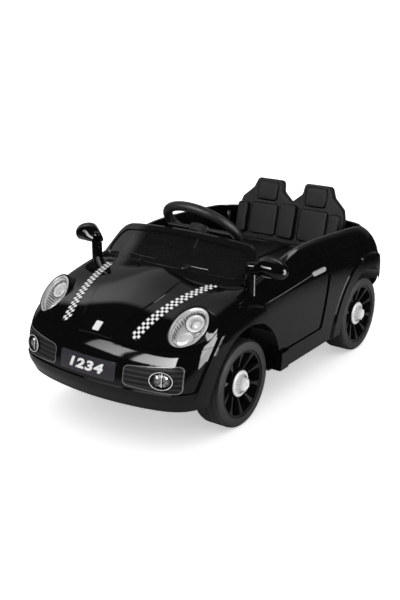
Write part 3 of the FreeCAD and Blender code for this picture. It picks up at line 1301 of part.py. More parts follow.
def rear_gear():
    parts = {}
    hub_out = nut_seat_x() + NUT_THICK + LUG_GAP
    axle = rod(Vec(-hub_out, REAR_AXLE_Y, TYRE_RADIUS), X_AXIS, AXLE_RADIUS, 2 * hub_out)
    nut = hex_nut(nut_seat_x() + LUG_GAP, REAR_AXLE_Y)
    parts["rear_axle"] = axle.fuse([nut, mirrored(nut)]).removeSplitter()
    inner = HANGER_X + HANGER_THICK
    motor_y = REAR_AXLE_Y + GEARBOX_REACH
    centre = TYRE_RADIUS
    thick = GEARBOX_OUTER_X - inner
    round_big = rod(Vec(inner, REAR_AXLE_Y, centre), X_AXIS, GEARBOX_RADIUS, thick)
    round_small = rod(Vec(inner, motor_y, centre), X_AXIS, GEARBOX_NOSE_RADIUS, thick)
    web = prism_x([(REAR_AXLE_Y, centre - GEARBOX_RADIUS), (motor_y, centre - GEARBOX_NOSE_RADIUS),
                   (motor_y, centre + GEARBOX_NOSE_RADIUS), (REAR_AXLE_Y, centre + GEARBOX_RADIUS)],
                  inner, GEARBOX_OUTER_X)
    case = round_big.fuse([round_small, web])
    case = case.cut(rod(Vec(0, REAR_AXLE_Y, centre), X_AXIS, AXLE_RADIUS + TOUCH, FAR))
    case = case.cut(rod(Vec(inner, motor_y, centre), X_AXIS, MOTOR_SHAFT_RADIUS + TOUCH,
                        MOTOR_SHAFT_LENGTH + TOUCH))
    parts["gearbox"] = rounded(case.removeSplitter(), TUB_WALL / 2,
                               lambda e: abs(e.BoundBox.XMin - GEARBOX_OUTER_X) < TOUCH
                               and e.Length > GEARBOX_RADIUS)
    motor = rod(Vec(inner - MOTOR_LENGTH, motor_y, centre), X_AXIS, MOTOR_RADIUS, MOTOR_LENGTH)
    shaft = rod(Vec(inner, motor_y, centre), X_AXIS, MOTOR_SHAFT_RADIUS, MOTOR_SHAFT_LENGTH)
    cap = rod(Vec(inner - MOTOR_LENGTH - MOTOR_CAP, motor_y, centre), X_AXIS, MOTOR_SHAFT_RADIUS * 2,
              MOTOR_CAP)
    parts["drive_motor"] = motor.fuse([shaft, cap]).removeSplitter()
    boss_end = TYRE_OUTER_X - TYRE_WIDTH + HUB_BOSS_INSET
    dog_start = GEARBOX_OUTER_X + LUG_GAP
    dog = rod(Vec(dog_start, REAR_AXLE_Y, centre), X_AXIS, DOG_RADIUS, boss_end - dog_start)
    lug = rod(Vec(boss_end, REAR_AXLE_Y, centre + DOG_LUG_PLACE), X_AXIS, DOG_LUG_RADIUS, DOG_LUG_LENGTH)
    lugs = []
    for i in range(DOG_LUGS):
        copy = lug.copy()
        copy.rotate(Vec(0, REAR_AXLE_Y, centre), X_AXIS, 360 * i / DOG_LUGS)
        lugs.append(copy)
    dog = dog.fuse(lugs).cut(rod(Vec(0, REAR_AXLE_Y, centre), X_AXIS, AXLE_RADIUS + RUNNING_FIT, FAR))
    parts["drive_dog"] = dog.removeSplitter()
    return parts


# Floor pan, seat and dash

def floor_tub():
    low = FLOOR_Z
    inside = FLOOR_Z + TUB_WALL
    shelf_low = BEAM_HIGH_Z
    mid = box(-TUB_HALF, TUB_HALF, TUB_FRONT_Y, TUB_REAR_Y, low, COCKPIT_WALL_FOOT_Z)
    foot = box(-FOOT_HALF, FOOT_HALF, FOOT_FRONT_Y, TUB_FRONT_Y + TUB_WALL, low, FOOT_WALL_Z)
    shelf = box(-SHELF_HALF, SHELF_HALF, SHELF_FRONT_Y, FOOT_FRONT_Y + TUB_WALL, shelf_low, SHELF_RIM_Z)
    deck = box(-DECK_HALF, DECK_HALF, TUB_REAR_Y - TUB_WALL, DECK_REAR_Y, DECK_Z, DECK_Z + TUB_WALL)
    solid = mid.fuse([foot, shelf, deck])
    flange_low = COCKPIT_WALL_FOOT_Z - TUB_WALL
    flange = box(-TUB_HALF - FLANGE_REACH, TUB_HALF + FLANGE_REACH, TUB_FRONT_Y, TUB_REAR_Y, flange_low,
                 COCKPIT_WALL_FOOT_Z)
    solid = solid.fuse(flange)
    mid_hole = box(TUB_WALL - TUB_HALF, TUB_HALF - TUB_WALL, TUB_FRONT_Y + TUB_WALL,
                   TUB_REAR_Y - TUB_WALL, inside, FAR)
    foot_hole = box(TUB_WALL - FOOT_HALF, FOOT_HALF - TUB_WALL, FOOT_FRONT_Y + TUB_WALL,
                    TUB_FRONT_Y + 2 * TUB_WALL,
                    inside, FAR)
    shelf_hole = box(TUB_WALL - SHELF_HALF, SHELF_HALF - TUB_WALL, SHELF_FRONT_Y + TUB_WALL, FOOT_FRONT_Y,
                     shelf_low + SHELF_THICK, FAR)
    solid = solid.cut(mid_hole.fuse([foot_hole, shelf_hole]))
    window = prism_z(rectangle(-SHELF_WINDOW_HALF, SHELF_WINDOW_HALF, SHELF_WINDOW_FRONT_Y,
                               SHELF_WINDOW_REAR_Y),
                     0, SHELF_RIM_Z, FORK_HALF)
    solid = solid.cut(window)
    for side in (1, -1):
        ends = sorted((side * HANGER_X, side * (HANGER_X + HANGER_THICK)))
        hanger = prism_x([(REAR_AXLE_Y - HANGER_HALF, TYRE_RADIUS - HANGER_HALF),
                          (REAR_AXLE_Y + HANGER_HALF, TYRE_RADIUS - HANGER_HALF),
                          (REAR_AXLE_Y + HANGER_HALF, DECK_Z), (REAR_AXLE_Y - HANGER_HALF, DECK_Z)],
                         ends[0], ends[1])
        solid = solid.fuse(hanger)
    boss_end = TYRE_OUTER_X - TYRE_WIDTH + HUB_BOSS_INSET - LUG_GAP
    solid = solid.fuse(rod(Vec(-boss_end, REAR_AXLE_Y, TYRE_RADIUS), X_AXIS, STUB_COLLAR_RADIUS,
                           boss_end - HANGER_X))
    solid = solid.fuse([column_bracket()] + pedal_mount())
    solid = solid.cut(rod(Vec(-FAR, REAR_AXLE_Y, TYRE_RADIUS), X_AXIS, AXLE_RADIUS, 2 * FAR))
    return solid.removeSplitter()


def seat_base():
    deck_top = DECK_Z + TUB_WALL
    pad_low = SEAT_TOP_Z - SEAT_PAD_THICK
    pad = box(-SEAT_HALF, SEAT_HALF, SEAT_FRONT_Y, SEAT_REAR_Y, pad_low, SEAT_TOP_Z)
    pad = rounded(pad, SEAT_EDGE, lambda e: e.BoundBox.ZMin > SEAT_TOP_Z - TOUCH)
    low = box(-SEAT_BOX_HALF, SEAT_BOX_HALF, TUB_REAR_Y, SEAT_REAR_Y, deck_top, pad_low)
    hollow = box(TUB_WALL - SEAT_BOX_HALF, SEAT_BOX_HALF - TUB_WALL, TUB_REAR_Y + TUB_WALL,
                 SEAT_REAR_Y - TUB_WALL,
                 deck_top, pad_low)
    base = pad.fuse(low.cut(hollow))
    for side in (1, -1):
        ends = sorted((side * SEAT_DISH_INNER_X, side * SEAT_DISH_OUTER_X))
        dish = prism_z(rectangle(ends[0], ends[1], SEAT_FRONT_Y + SEAT_DISH_MARGIN,
                                 SEAT_REAR_Y - SEAT_DISH_MARGIN / 2),
                       SEAT_TOP_Z - SEAT_DISH, SEAT_TOP_Z, SEAT_DISH_MARGIN)
        dish = rounded(dish, SEAT_DISH * SOFT_SHARE,
                       lambda e: e.BoundBox.ZMax < SEAT_TOP_Z - SEAT_DISH + TOUCH)
        base = base.cut(dish)
    base = base.cut(rod(Vec(SEAT_SOCKET_X, TUB_REAR_Y - TUB_WALL, SOCKET_Z), Y_AXIS,
                        SOCKET_RADIUS + TOUCH, 4 * TUB_WALL))
    return base.removeSplitter()


def charging_socket():
    body = rod(Vec(SEAT_SOCKET_X, TUB_REAR_Y, SOCKET_Z), Y_AXIS, SOCKET_RADIUS, SOCKET_LENGTH)
    flange = rod(Vec(SEAT_SOCKET_X, TUB_REAR_Y - SOCKET_FLANGE_THICK, SOCKET_Z), Y_AXIS, SOCKET_FLANGE,
                 SOCKET_FLANGE_THICK)
    bore = rod(Vec(SEAT_SOCKET_X, TUB_REAR_Y - SOCKET_FLANGE_THICK, SOCKET_Z), Y_AXIS, SOCKET_BORE,
               SOCKET_LENGTH)
    return body.fuse(flange).removeSplitter().cut(bore)


def lean_back(shape):
    moved = shape.copy()
    moved.rotate(Vec(0, BACK_FOOT_Y, BACK_FOOT_Z), X_AXIS, -BACK_LEAN)
    return moved


def seat_back():
    deck_top = DECK_Z + TUB_WALL
    front = BACK_FOOT_Y
    right = [(BACK_NOTCH_X, BACK_NOTCH_TOP_Z), (BACK_HEAD_IN_X, BACK_TOP_Z), (BACK_HEAD_OUT_X, BACK_TOP_Z),
             (BACK_NECK_X, BACK_NECK_Z), (BACK_SHOULDER_X, BACK_SHOULDER_Z), (BACK_HALF, BACK_SIDE_Z),
             (BACK_HALF, BACK_FOOT_Z), (SEAT_BOX_HALF, BACK_FOOT_Z), (SEAT_BOX_HALF, 0)]
    outline = [(0, BACK_NOTCH_Z)] + right + [(-x, z) for x, z in reversed(right)]
    slab = prism_y(outline, front, front + BACK_THICK, BACK_CORNER)

    def front_rim(edge):
        return abs(edge.BoundBox.YMax - front) < TOUCH and edge.BoundBox.ZMin > BACK_FOOT_Z

    slab = rounded(slab, BACK_EDGE * SOFT_SHARE, front_rim)
    pieces = []
    for side in (1, -1):
        for places, proud in (
                (rectangle(PANEL_IN_X, PANEL_OUT_X, PANEL_LOW_Z, PANEL_HIGH_Z), BACK_PAD),
                (rectangle(HEAD_PAD_IN_X, HEAD_PAD_OUT_X, HEAD_PAD_LOW_Z, HEAD_PAD_HIGH_Z), BACK_PAD),
                (rectangle(BOLSTER_IN_X, BOLSTER_OUT_X, PANEL_LOW_Z, BOLSTER_HIGH_Z), BOLSTER_PROUD)):
            pad = prism_y([(side * x, z) for x, z in places], front - proud, front + BACK_EDGE,
                          BACK_EDGE * 2)
            pad = rounded(pad, BACK_EDGE, lambda e: e.BoundBox.YMax < front - proud + TOUCH)
            pieces.append(pad)
    spine = prism_y(rectangle(-SPINE_HALF, SPINE_HALF, PANEL_LOW_Z, SPINE_HIGH_Z), front - BOLSTER_PROUD,
                    front + BACK_EDGE,
                    BACK_EDGE * 2)
    pieces.append(rounded(spine, BACK_EDGE, lambda e: e.BoundBox.YMax < front - BOLSTER_PROUD + TOUCH))
    whole = lean_back(slab.fuse(pieces).removeSplitter())
    whole = whole.cut(box(-FAR, FAR, -FAR, FAR, -FAR, deck_top))
    keep_off = box(-FAR, FAR, -FAR, SEAT_REAR_Y + SEAT_GAP, -FAR, SEAT_TOP_Z)
    return largest(whole.cut(keep_off))


def battery_set():
    parts = {}
    deck_top = DECK_Z + TUB_WALL
    half = BATTERY_LONG / 2
    wide = BATTERY_WIDE / 2
    top = deck_top + BATTERY_TALL
    case = box(-half, half, BATTERY_Y - wide, BATTERY_Y + wide, deck_top, top)
    case = rounded(case, TUB_WALL / 2, lambda e: abs(e.Length - BATTERY_TALL) < TOUCH)
    posts = []
    for side in (1, -1):
        posts.append(rod(Vec(side * BATTERY_LONG * TERMINAL_SHARE, BATTERY_Y, top), Z_AXIS,
                         TERMINAL_RADIUS, TERMINAL_TALL))
    parts["battery"] = case.fuse(posts).removeSplitter()
    low = BATTERY_Y - wide - STRAP_THICK
    high = BATTERY_Y + wide + STRAP_THICK
    strap = box(-STRAP_WIDTH / 2, STRAP_WIDTH / 2, low, high, deck_top, top + STRAP_THICK)
    strap = strap.cut(box(-FAR, FAR, BATTERY_Y - wide, BATTERY_Y + wide, 0, top))
    feet = box(-STRAP_WIDTH / 2, STRAP_WIDTH / 2, low - STRAP_FOOT, high + STRAP_FOOT, deck_top,
               deck_top + STRAP_THICK)
    feet = feet.cut(box(-FAR, FAR, BATTERY_Y - wide, BATTERY_Y + wide, 0, top))
    strap = strap.fuse(feet).removeSplitter()
    parts["battery_strap"] = strap
    control = box(-CONTROL_LONG / 2, CONTROL_LONG / 2, CONTROL_Y - CONTROL_WIDE / 2,
                  CONTROL_Y + CONTROL_WIDE / 2,
                  deck_top, deck_top + CONTROL_TALL)
    parts["control_box"] = rounded(control, TUB_WALL / 2, lambda e: e.BoundBox.ZMin > deck_top + TOUCH)
    return parts


def dash_set():
    parts = {}
    profile = [(DASH_FRONT_Y, DASH_TOP_Z - DASH_DROP), (DASH_BROW_Y, DASH_TOP_Z),
               (DASH_FACE_Y, DASH_TOP_Z - DASH_BROW),
               (DASH_FACE_Y, DASH_LOW_Z), (DASH_FACE_Y - DASH_WALL, DASH_LOW_Z),
               (DASH_FACE_Y - DASH_WALL, DASH_TOP_Z - DASH_BROW - DASH_WALL),
               (DASH_BROW_Y - DASH_WALL / 2, DASH_TOP_Z - DASH_WALL),
               (DASH_FRONT_Y, DASH_TOP_Z - DASH_DROP - DASH_WALL)]
    panel = prism_x(profile, -COCKPIT_HALF, COCKPIT_HALF)
    room = cockpit_prism(0, 0, FAR)
    room.translate(Vec(0, DASH_EDGE_GAP, 0))
    boss = on_column(rod(Vec(0, 0, -BUSH_PLACE - BOSS_LENGTH), Z_AXIS, BOSS_RADIUS, BOSS_LENGTH))
    panel = panel.fuse(boss).common(room).cut(screen_sheet(-SCREEN_PANE_THICK, 2 * SCREEN_FRAME_THICK))
    panel = panel.cut(on_column(rod(Vec(0, 0, -FAR), Z_AXIS, COLUMN_RADIUS + LINER_WALL / 2, FAR)))
    panel = panel.cut(on_column(rod(Vec(0, 0, -BUSH_PLACE - BUSH_LENGTH), Z_AXIS, BUSH_RADIUS + TOUCH,
                                    FAR)))
    dials = []
    for side in (1, -1):
        place = Vec(side * CLUSTER_SPREAD, DASH_FACE_Y, CLUSTER_Z)
        dial = rod(place, Y_AXIS, CLUSTER_RADIUS, CLUSTER_PROUD)
        face = rod(place + Vec(0, CLUSTER_PROUD / 2, 0), Y_AXIS, CLUSTER_RADIUS - CLUSTER_RING,
                   CLUSTER_PROUD)
        dials.append(dial.cut(face))
    switch_y = DASH_FACE_Y
    bezels = []
    for side in (1, -1):
        wide = SWITCH_HALF_WIDE
        tall = SWITCH_HALF_TALL
        middle = side * SWITCH_X
        hole = box(middle - wide - SWITCH_RIM, middle + wide + SWITCH_RIM, switch_y - SWITCH_DEPTH,
                   switch_y + SWITCH_DEPTH,
                   SWITCH_Z - tall - SWITCH_RIM, SWITCH_Z + tall + SWITCH_RIM)
        panel = panel.cut(hole)
        bezel = box(middle - wide - SWITCH_RIM, middle + wide + SWITCH_RIM, switch_y - SWITCH_DEPTH,
                    switch_y,
                    SWITCH_Z - tall - SWITCH_RIM, SWITCH_Z + tall + SWITCH_RIM)
        lip = box(middle - wide - 2 * SWITCH_RIM, middle + wide + 2 * SWITCH_RIM, switch_y,
                  switch_y + SWITCH_PROUD,
                  SWITCH_Z - tall - 2 * SWITCH_RIM, SWITCH_Z + tall + 2 * SWITCH_RIM)
        bezel = bezel.fuse(lip)
        bezel = bezel.cut(box(middle - wide, middle + wide, switch_y - SWITCH_DEPTH + SWITCH_RIM, FAR,
                              SWITCH_Z - tall, SWITCH_Z + tall))
        if side < 0:
            bezel = bezel.cut(rod(Vec(middle - wide - ROCKER_PIN_REACH, switch_y - ROCKER_PIVOT,
                                      SWITCH_Z), X_AXIS,
                                  ROCKER_PIN_RADIUS + RUNNING_FIT, 2 * (wide + ROCKER_PIN_REACH)))
        bezels.append(bezel.removeSplitter())
    parts["dashboard"] = largest(panel.fuse(dials).removeSplitter())
    parts["switch_housings"] = Part.makeCompound(bezels)
    clear = SEAT_GAP
    wide = SWITCH_HALF_WIDE - clear
    tall = SWITCH_HALF_TALL - clear
    button = box(SWITCH_X - wide, SWITCH_X + wide, switch_y - SWITCH_DEPTH / 2,
                 switch_y + SWITCH_PROUD + BUTTON_TRAVEL,
                 SWITCH_Z - tall, SWITCH_Z + tall)
    parts["power_button"] = rounded(button, SWITCH_PROUD / 2,
                                    lambda e: e.BoundBox.YMin > switch_y + SWITCH_PROUD)
    crown = switch_y + SWITCH_PROUD + ROCKER_SWELL
    rocker_places = [(switch_y - SWITCH_DEPTH / 2, SWITCH_Z - ROCKER_FOOT),
                     (switch_y + SWITCH_PROUD, SWITCH_Z - tall + ROCKER_SWELL),
                     (crown, SWITCH_Z - tall + ROCKER_SWELL), (switch_y + SWITCH_PROUD, SWITCH_Z),
                     (crown, SWITCH_Z + tall - ROCKER_SWELL),
                     (switch_y + SWITCH_PROUD, SWITCH_Z + tall - ROCKER_SWELL),
                     (switch_y - SWITCH_DEPTH / 2, SWITCH_Z + ROCKER_FOOT)]
    rocker = prism_x(rocker_places, -SWITCH_X - wide, -SWITCH_X + wide)
    pin = rod(Vec(-SWITCH_X - wide - ROCKER_PIN_REACH, switch_y - ROCKER_PIVOT, SWITCH_Z), X_AXIS,
              ROCKER_PIN_RADIUS, 2 * (wide + ROCKER_PIN_REACH))
    parts["direction_rocker"] = rocker.fuse(pin).removeSplitter()
    return parts


def pedal_mount():
    """Cheeks and pin of the pedal, moulded on the floor."""
    floor = FLOOR_Z
    out = PEDAL_HALF + PEDAL_CHEEK
    pieces = []
    for side in (1, -1):
        ends = sorted((PEDAL_X + side * (PEDAL_HALF + SEAT_GAP), PEDAL_X + side * out))
        pieces.append(box(ends[0], ends[1], PEDAL_Y - PEDAL_EYE_RADIUS, PEDAL_Y + PEDAL_EYE_RADIUS, floor,
                          PEDAL_PIN_Z + PEDAL_EYE_RADIUS))
    pieces.append(rod(Vec(PEDAL_X - out, PEDAL_Y, PEDAL_PIN_Z), X_AXIS, PEDAL_PIN_RADIUS, 2 * out))
    return pieces


def pedal():
    half = PEDAL_HALF
    hinge = Vec(PEDAL_X, PEDAL_Y, PEDAL_PIN_Z)
    eye = rod(Vec(PEDAL_X - half, PEDAL_Y, PEDAL_PIN_Z), X_AXIS, PEDAL_EYE_RADIUS - SEAT_GAP * 2, 2 * half)
    tread = box(PEDAL_X - half, PEDAL_X + half, PEDAL_Y - PEDAL_LENGTH, PEDAL_Y, PEDAL_PIN_Z,
                PEDAL_PIN_Z + PEDAL_THICK)
    front = PEDAL_Y - PEDAL_THICK
    tread = rounded(tread, PEDAL_EYE_RADIUS,
                    lambda e: abs(e.Length - PEDAL_THICK) < TOUCH and e.BoundBox.YMax < front)
    ribs = []
    step = PEDAL_LENGTH / (PEDAL_RIBS + 1)
    for i in range(PEDAL_RIBS):
        place = PEDAL_Y - step * (i + 1)
        ribs.append(box(PEDAL_X - half + PEDAL_CHEEK, PEDAL_X + half - PEDAL_CHEEK, place - PEDAL_RIB,
                        place + PEDAL_RIB,
                        PEDAL_PIN_Z + PEDAL_THICK, PEDAL_PIN_Z + PEDAL_THICK + PEDAL_RIB))
    whole = eye.fuse([tread] + ribs)
    whole.rotate(hinge, X_AXIS, -PEDAL_ANGLE)
    whole = whole.cut(rod(Vec(-FAR, PEDAL_Y, PEDAL_PIN_Z), X_AXIS, PEDAL_PIN_RADIUS + RUNNING_FIT, 2 * FAR))
    return whole.removeSplitter()


# Mirrors

def mirror_outline(size, depth):
    """Front view of a mirror head at a share of its full size, drawn in the XZ plane at a depth."""
    places = []
    for across, up in MIRROR_OUTLINE_SHARES:
        places.append(Vec(MIRROR_HALF_LONG * across * size, depth, MIRROR_HALF_TALL * up * size))
    curve = Part.BSplineCurve()
    curve.interpolate(places, PeriodicFlag=True)
    return Part.Wire([curve.toShape()])


def mirror_set():
    parts = {}
    post = ellipse_prism(MIRROR_POST_LONG, MIRROR_POST_SHORT, 0, MIRROR_JOINT_Z)
    post.rotate(ORIGIN, Z_AXIS, 90)
    post.translate(Vec(MIRROR_POST_X, MIRROR_POST_Y, 0))
    post = largest(post.cut(form(0)).common(box(0, FAR, -FAR, FAR, DOOR_TOP_Z, FAR)))
    pin = rod(Vec(MIRROR_POST_X, MIRROR_POST_Y, MIRROR_JOINT_Z), Z_AXIS, MIRROR_PIN_RADIUS,
              MIRROR_PIN_LENGTH)
    post = post.fuse(pin).removeSplitter()
    parts["mirror_posts"] = Part.makeCompound([post, mirrored(post)])
    rings = []
    for share in MIRROR_SECTION_SHARES:
        shrink = math.sqrt(1 - share * share)
        rings.append(mirror_outline(shrink, MIRROR_DEPTH * share))
    head = Part.makeLoft(rings, True, False)
    face = MIRROR_DEPTH * share
    floor = face - MIRROR_RIM
    pocket_size = shrink - MIRROR_RIM / MIRROR_HALF_TALL
    glass_size = pocket_size - SEAT_GAP / MIRROR_HALF_TALL
    pocket = Part.Face(mirror_outline(pocket_size, floor)).extrude(Y_AXIS * (2 * MIRROR_RIM))
    glass = Part.Face(mirror_outline(glass_size, floor)).extrude(Y_AXIS * MIRROR_GLASS_THICK)
    centre = Vec(MIRROR_POST_X + MIRROR_REACH, MIRROR_POST_Y + MIRROR_SHIFT, MIRROR_JOINT_Z + MIRROR_RISE)
    for shape in (head, pocket, glass):
        shape.rotate(ORIGIN, Z_AXIS, MIRROR_LEAN)
        shape.translate(centre)
    neck = rod(Vec(MIRROR_POST_X, MIRROR_POST_Y, MIRROR_JOINT_Z), Z_AXIS, MIRROR_POST_SHORT, MIRROR_RISE)
    knee = Vec(MIRROR_POST_X, MIRROR_POST_Y, MIRROR_JOINT_Z + MIRROR_RISE)
    reach = Vec(MIRROR_REACH, MIRROR_SHIFT, 0)
    arm = rod(knee, reach, MIRROR_POST_SHORT, reach.Length / 2)
    knob = Part.makeSphere(MIRROR_POST_SHORT, knee)
    head = head.fuse([neck, arm, knob]).cut(pocket)
    head = head.cut(rod(Vec(MIRROR_POST_X, MIRROR_POST_Y, 0), Z_AXIS, MIRROR_POST_LONG + SEAT_GAP,
                        MIRROR_JOINT_Z))
    head = head.cut(rod(Vec(MIRROR_POST_X, MIRROR_POST_Y, 0), Z_AXIS, MIRROR_PIN_RADIUS + RUNNING_FIT,
                        MIRROR_JOINT_Z + MIRROR_PIN_LENGTH + SEAT_GAP))
    parts["mirror_head_left"] = head.removeSplitter()
    parts["mirror_head_right"] = mirrored(parts["mirror_head_left"])
    parts["mirror_glass_left"] = glass
    parts["mirror_glass_right"] = mirrored(glass)
    return parts


def build():
    parts = {}
    body, bonnet, front, rear = split_body(body_panels())
    front, fittings = nose_fittings(front)
    parts.update(fittings)
    body, fittings = headlight_set(body)
    parts.update(fittings)
    body, bonnet, fittings = body_fittings(body, bonnet)
    parts.update(fittings)
    parts["body_shell"] = body
    parts["bonnet"] = bonnet
    parts["front_bumper"] = front
    parts["rear_bumper"] = rear
    parts["windscreen_frame"], parts["windscreen_pane"] = windscreen()
    for word, axle_y in (("front", FRONT_AXLE_Y), ("rear", REAR_AXLE_Y)):
        for name, shape in (("tyre", tyre(axle_y)), ("rim", rim(axle_y)), ("hub_cap", hub_cap(axle_y))):
            parts[name + "_" + word + "_left"] = shape
            parts[name + "_" + word + "_right"] = mirrored(shape)
    parts.update(front_gear())
    parts.update(steering_set())
    parts.update(rear_gear())
    parts["floor_tub"] = floor_tub()
    parts["seat_base"] = seat_base()
    parts["charging_socket"] = charging_socket()
    parts["seat_back"] = seat_back()
    parts.update(battery_set())
    parts.update(dash_set())
    parts["pedal"] = pedal()
    parts.update(mirror_set())
    return parts


if __name__ == "__main__":
    os.makedirs("parts", exist_ok=True)
    for name, shape in build().items():
        save(name, shape)
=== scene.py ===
# %% [markdown]
# # A child's ride-on car, dressed for its picture
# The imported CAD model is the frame: every wheel, panel and lamp already has its true size and place.
# This lesson gives each of them a finish and adds what is too fine for the solids, such as the
# chequered ribbon on the bonnet, the tread of the tyres and the rolled edge round the cockpit.
# The frame is loaded first, because everything else is placed against it. Loading leaves its nodes
# selected, and an operator acts on all that is selected, so the selection is cleared before each piece.

import json
import math
from contextlib import contextmanager

import bmesh
import bpy
from mathutils import Matrix, Vector

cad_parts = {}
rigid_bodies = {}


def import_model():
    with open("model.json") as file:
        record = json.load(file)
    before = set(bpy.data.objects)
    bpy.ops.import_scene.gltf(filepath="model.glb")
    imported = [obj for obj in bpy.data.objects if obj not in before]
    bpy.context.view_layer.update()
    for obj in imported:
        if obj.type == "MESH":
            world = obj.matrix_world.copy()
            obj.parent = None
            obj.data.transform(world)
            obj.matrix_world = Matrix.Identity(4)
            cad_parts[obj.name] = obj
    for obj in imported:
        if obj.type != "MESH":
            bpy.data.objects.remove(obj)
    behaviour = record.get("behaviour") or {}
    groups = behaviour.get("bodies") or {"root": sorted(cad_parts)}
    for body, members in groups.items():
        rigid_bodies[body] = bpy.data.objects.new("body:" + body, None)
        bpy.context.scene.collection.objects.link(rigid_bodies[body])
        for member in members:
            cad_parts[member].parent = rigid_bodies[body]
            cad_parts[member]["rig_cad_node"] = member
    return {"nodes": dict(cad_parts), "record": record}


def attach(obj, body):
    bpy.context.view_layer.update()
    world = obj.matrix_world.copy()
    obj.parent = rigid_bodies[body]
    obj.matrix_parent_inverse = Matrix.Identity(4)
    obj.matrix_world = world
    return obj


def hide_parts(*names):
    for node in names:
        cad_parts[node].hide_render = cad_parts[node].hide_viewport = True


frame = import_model()
NODES = frame["nodes"]
RECORD = frame["record"]
BODY_OF = {node: body for body, nodes in RECORD["behaviour"]["bodies"].items() for node in nodes}
SLOT_OF = {row["node"]: row["material_slot"] for row in RECORD["subparts"]}
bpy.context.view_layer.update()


def clear_selection():
    bpy.ops.object.select_all(action="DESELECT")


# %% [markdown]
# ## Camera
# The picture was taken a little above the bonnet, from the car's left front. The camera could be placed
# by eye; here its place and lens come from matching wheels, lamps and bumper, so the outline fits.

# %% Camera
CAMERA_AZIMUTH = math.radians(35.72)
CAMERA_ELEVATION = math.radians(18.90)
CAMERA_PLACE = (1.2929, -1.8742, 0.9713)
CAMERA_LENS = 55.3
SENSOR = 36.0

backward = Vector((math.sin(CAMERA_AZIMUTH) * math.cos(CAMERA_ELEVATION),
                   -math.cos(CAMERA_AZIMUTH) * math.cos(CAMERA_ELEVATION),
                   math.sin(CAMERA_ELEVATION)))
clear_selection()
bpy.ops.object.camera_add(location=CAMERA_PLACE)
camera = bpy.context.object
camera.rotation_euler = (-backward).to_track_quat("-Z", "Y").to_euler()
camera.data.lens = CAMERA_LENS
camera.data.sensor_width = SENSOR
bpy.context.scene.camera = camera
bpy.context.scene.view_settings.view_transform = "Standard"
print("camera looks along", [round(v, 3) for v in -backward])

# %% [markdown]
# ## Studio
# A black gloss car shows little but what it mirrors. The room therefore has three parts: an even white
# dome that lights everything softly, a pale floor that catches the soft shadow, and, for mirrored rays
# only, a dark room with a lit back wall, softboxes and a light strip low at the car's left, as in a photo
# studio. Lamps could do the same, but they would also add hard light; drawn into the room and the floor
# they only show as reflections. The same few small nodes are needed all the time, so they get helpers.


# %% Studio helpers
def add_node(tree, kind, **settings):
    node = tree.nodes.new(kind)
    for key, value in settings.items():
        setattr(node, key, value)
    return node


def math_node(tree, operation, first, second):
    node = add_node(tree, "ShaderNodeMath", operation=operation)
    for socket, value in zip(node.inputs, (first, second)):
        if isinstance(value, (int, float)):
            socket.default_value = value
        else:
            tree.links.new(value, socket)
    return node.outputs["Value"]


def change(tree, source, low, high, first=0.0, last=1.0, kind="SMOOTHSTEP"):
    """A value that goes from first at low to last at high and stays there."""
    node = add_node(tree, "ShaderNodeMapRange", interpolation_type=kind)
    for label, number in (("From Min", low), ("From Max", high), ("To Min", first), ("To Max", last)):
        node.inputs[label].default_value = number
    tree.links.new(source, node.inputs["Value"])
    return node.outputs["Result"]


def between(tree, source, low, high, soft):
    """1 where a value lies between two limits, with soft edges."""
    rise = change(tree, source, low - soft, low + soft)
    fall = change(tree, source, high - soft, high + soft)
    return math_node(tree, "SUBTRACT", rise, fall)


def product(tree, *values):
    result = values[0]
    for value in values[1:]:
        result = math_node(tree, "MULTIPLY", result, value)
    return result


def length_of(tree, vector):
    node = add_node(tree, "ShaderNodeVectorMath", operation="LENGTH")
    tree.links.new(vector, node.inputs[0])
    return node.outputs["Value"]


def axes_of(tree, vector):
    node = add_node(tree, "ShaderNodeSeparateXYZ")
    tree.links.new(vector, node.inputs[0])
    return tuple(node.outputs[axis] for axis in "XYZ")


def bearing_of(tree, to_left, to_rear):
    """The bearing of a direction: 0 straight ahead of the car, growing towards its left."""
    return math_node(tree, "ARCTAN2", to_left, math_node(tree, "MULTIPLY", to_rear, -1.0))


print("studio helpers ready")

# %% [markdown]
# ## Floor
# The floor is a plain pale sheet, large enough to fill every view. A black car would mirror it as a white band all
# round, so for mirrored rays the floor's colour is a painted pool of light: grey near the car and dark further out.

# %% Studio floor
FLOOR_SIZE = 400.0
FLOOR_DROP = -0.0008
FLOOR_PALE = 0.99
FLOOR_ROUGH = 0.9
FLOOR_PAINTED_POOL = (0.85, 1.6, 0.34, 0.01)

clear_selection()
bpy.ops.mesh.primitive_plane_add(size=FLOOR_SIZE, location=(0, 0, FLOOR_DROP))
floor = bpy.context.object
floor.name = "studio_floor"
floor_paint = bpy.data.materials.new("studio_floor_paint")
floor_paint.use_nodes = True
floor_tree = floor_paint.node_tree
paint = floor_tree.nodes["Principled BSDF"]
paint.inputs["Roughness"].default_value = FLOOR_ROUGH
paint.inputs["Specular IOR Level"].default_value = 0.0
floor_ray = add_node(floor_tree, "ShaderNodeLightPath")
ground = add_node(floor_tree, "ShaderNodeTexCoord").outputs["Object"]
# For mirrored rays the floor's colour is a painted pool of light round the car.
painted_pool = change(floor_tree, length_of(floor_tree, ground), *FLOOR_PAINTED_POOL)
floor_colour = add_node(floor_tree, "ShaderNodeMix", data_type="RGBA")
floor_tree.links.new(floor_ray.outputs["Is Glossy Ray"], floor_colour.inputs["Factor"])
floor_colour.inputs["A"].default_value = (FLOOR_PALE, FLOOR_PALE, FLOOR_PALE, 1)
floor_tree.links.new(painted_pool, floor_colour.inputs["B"])
floor_tree.links.new(floor_colour.outputs["Result"], paint.inputs["Base Color"])
floor.data.materials.append(floor_paint)
print("floor at", FLOOR_DROP)

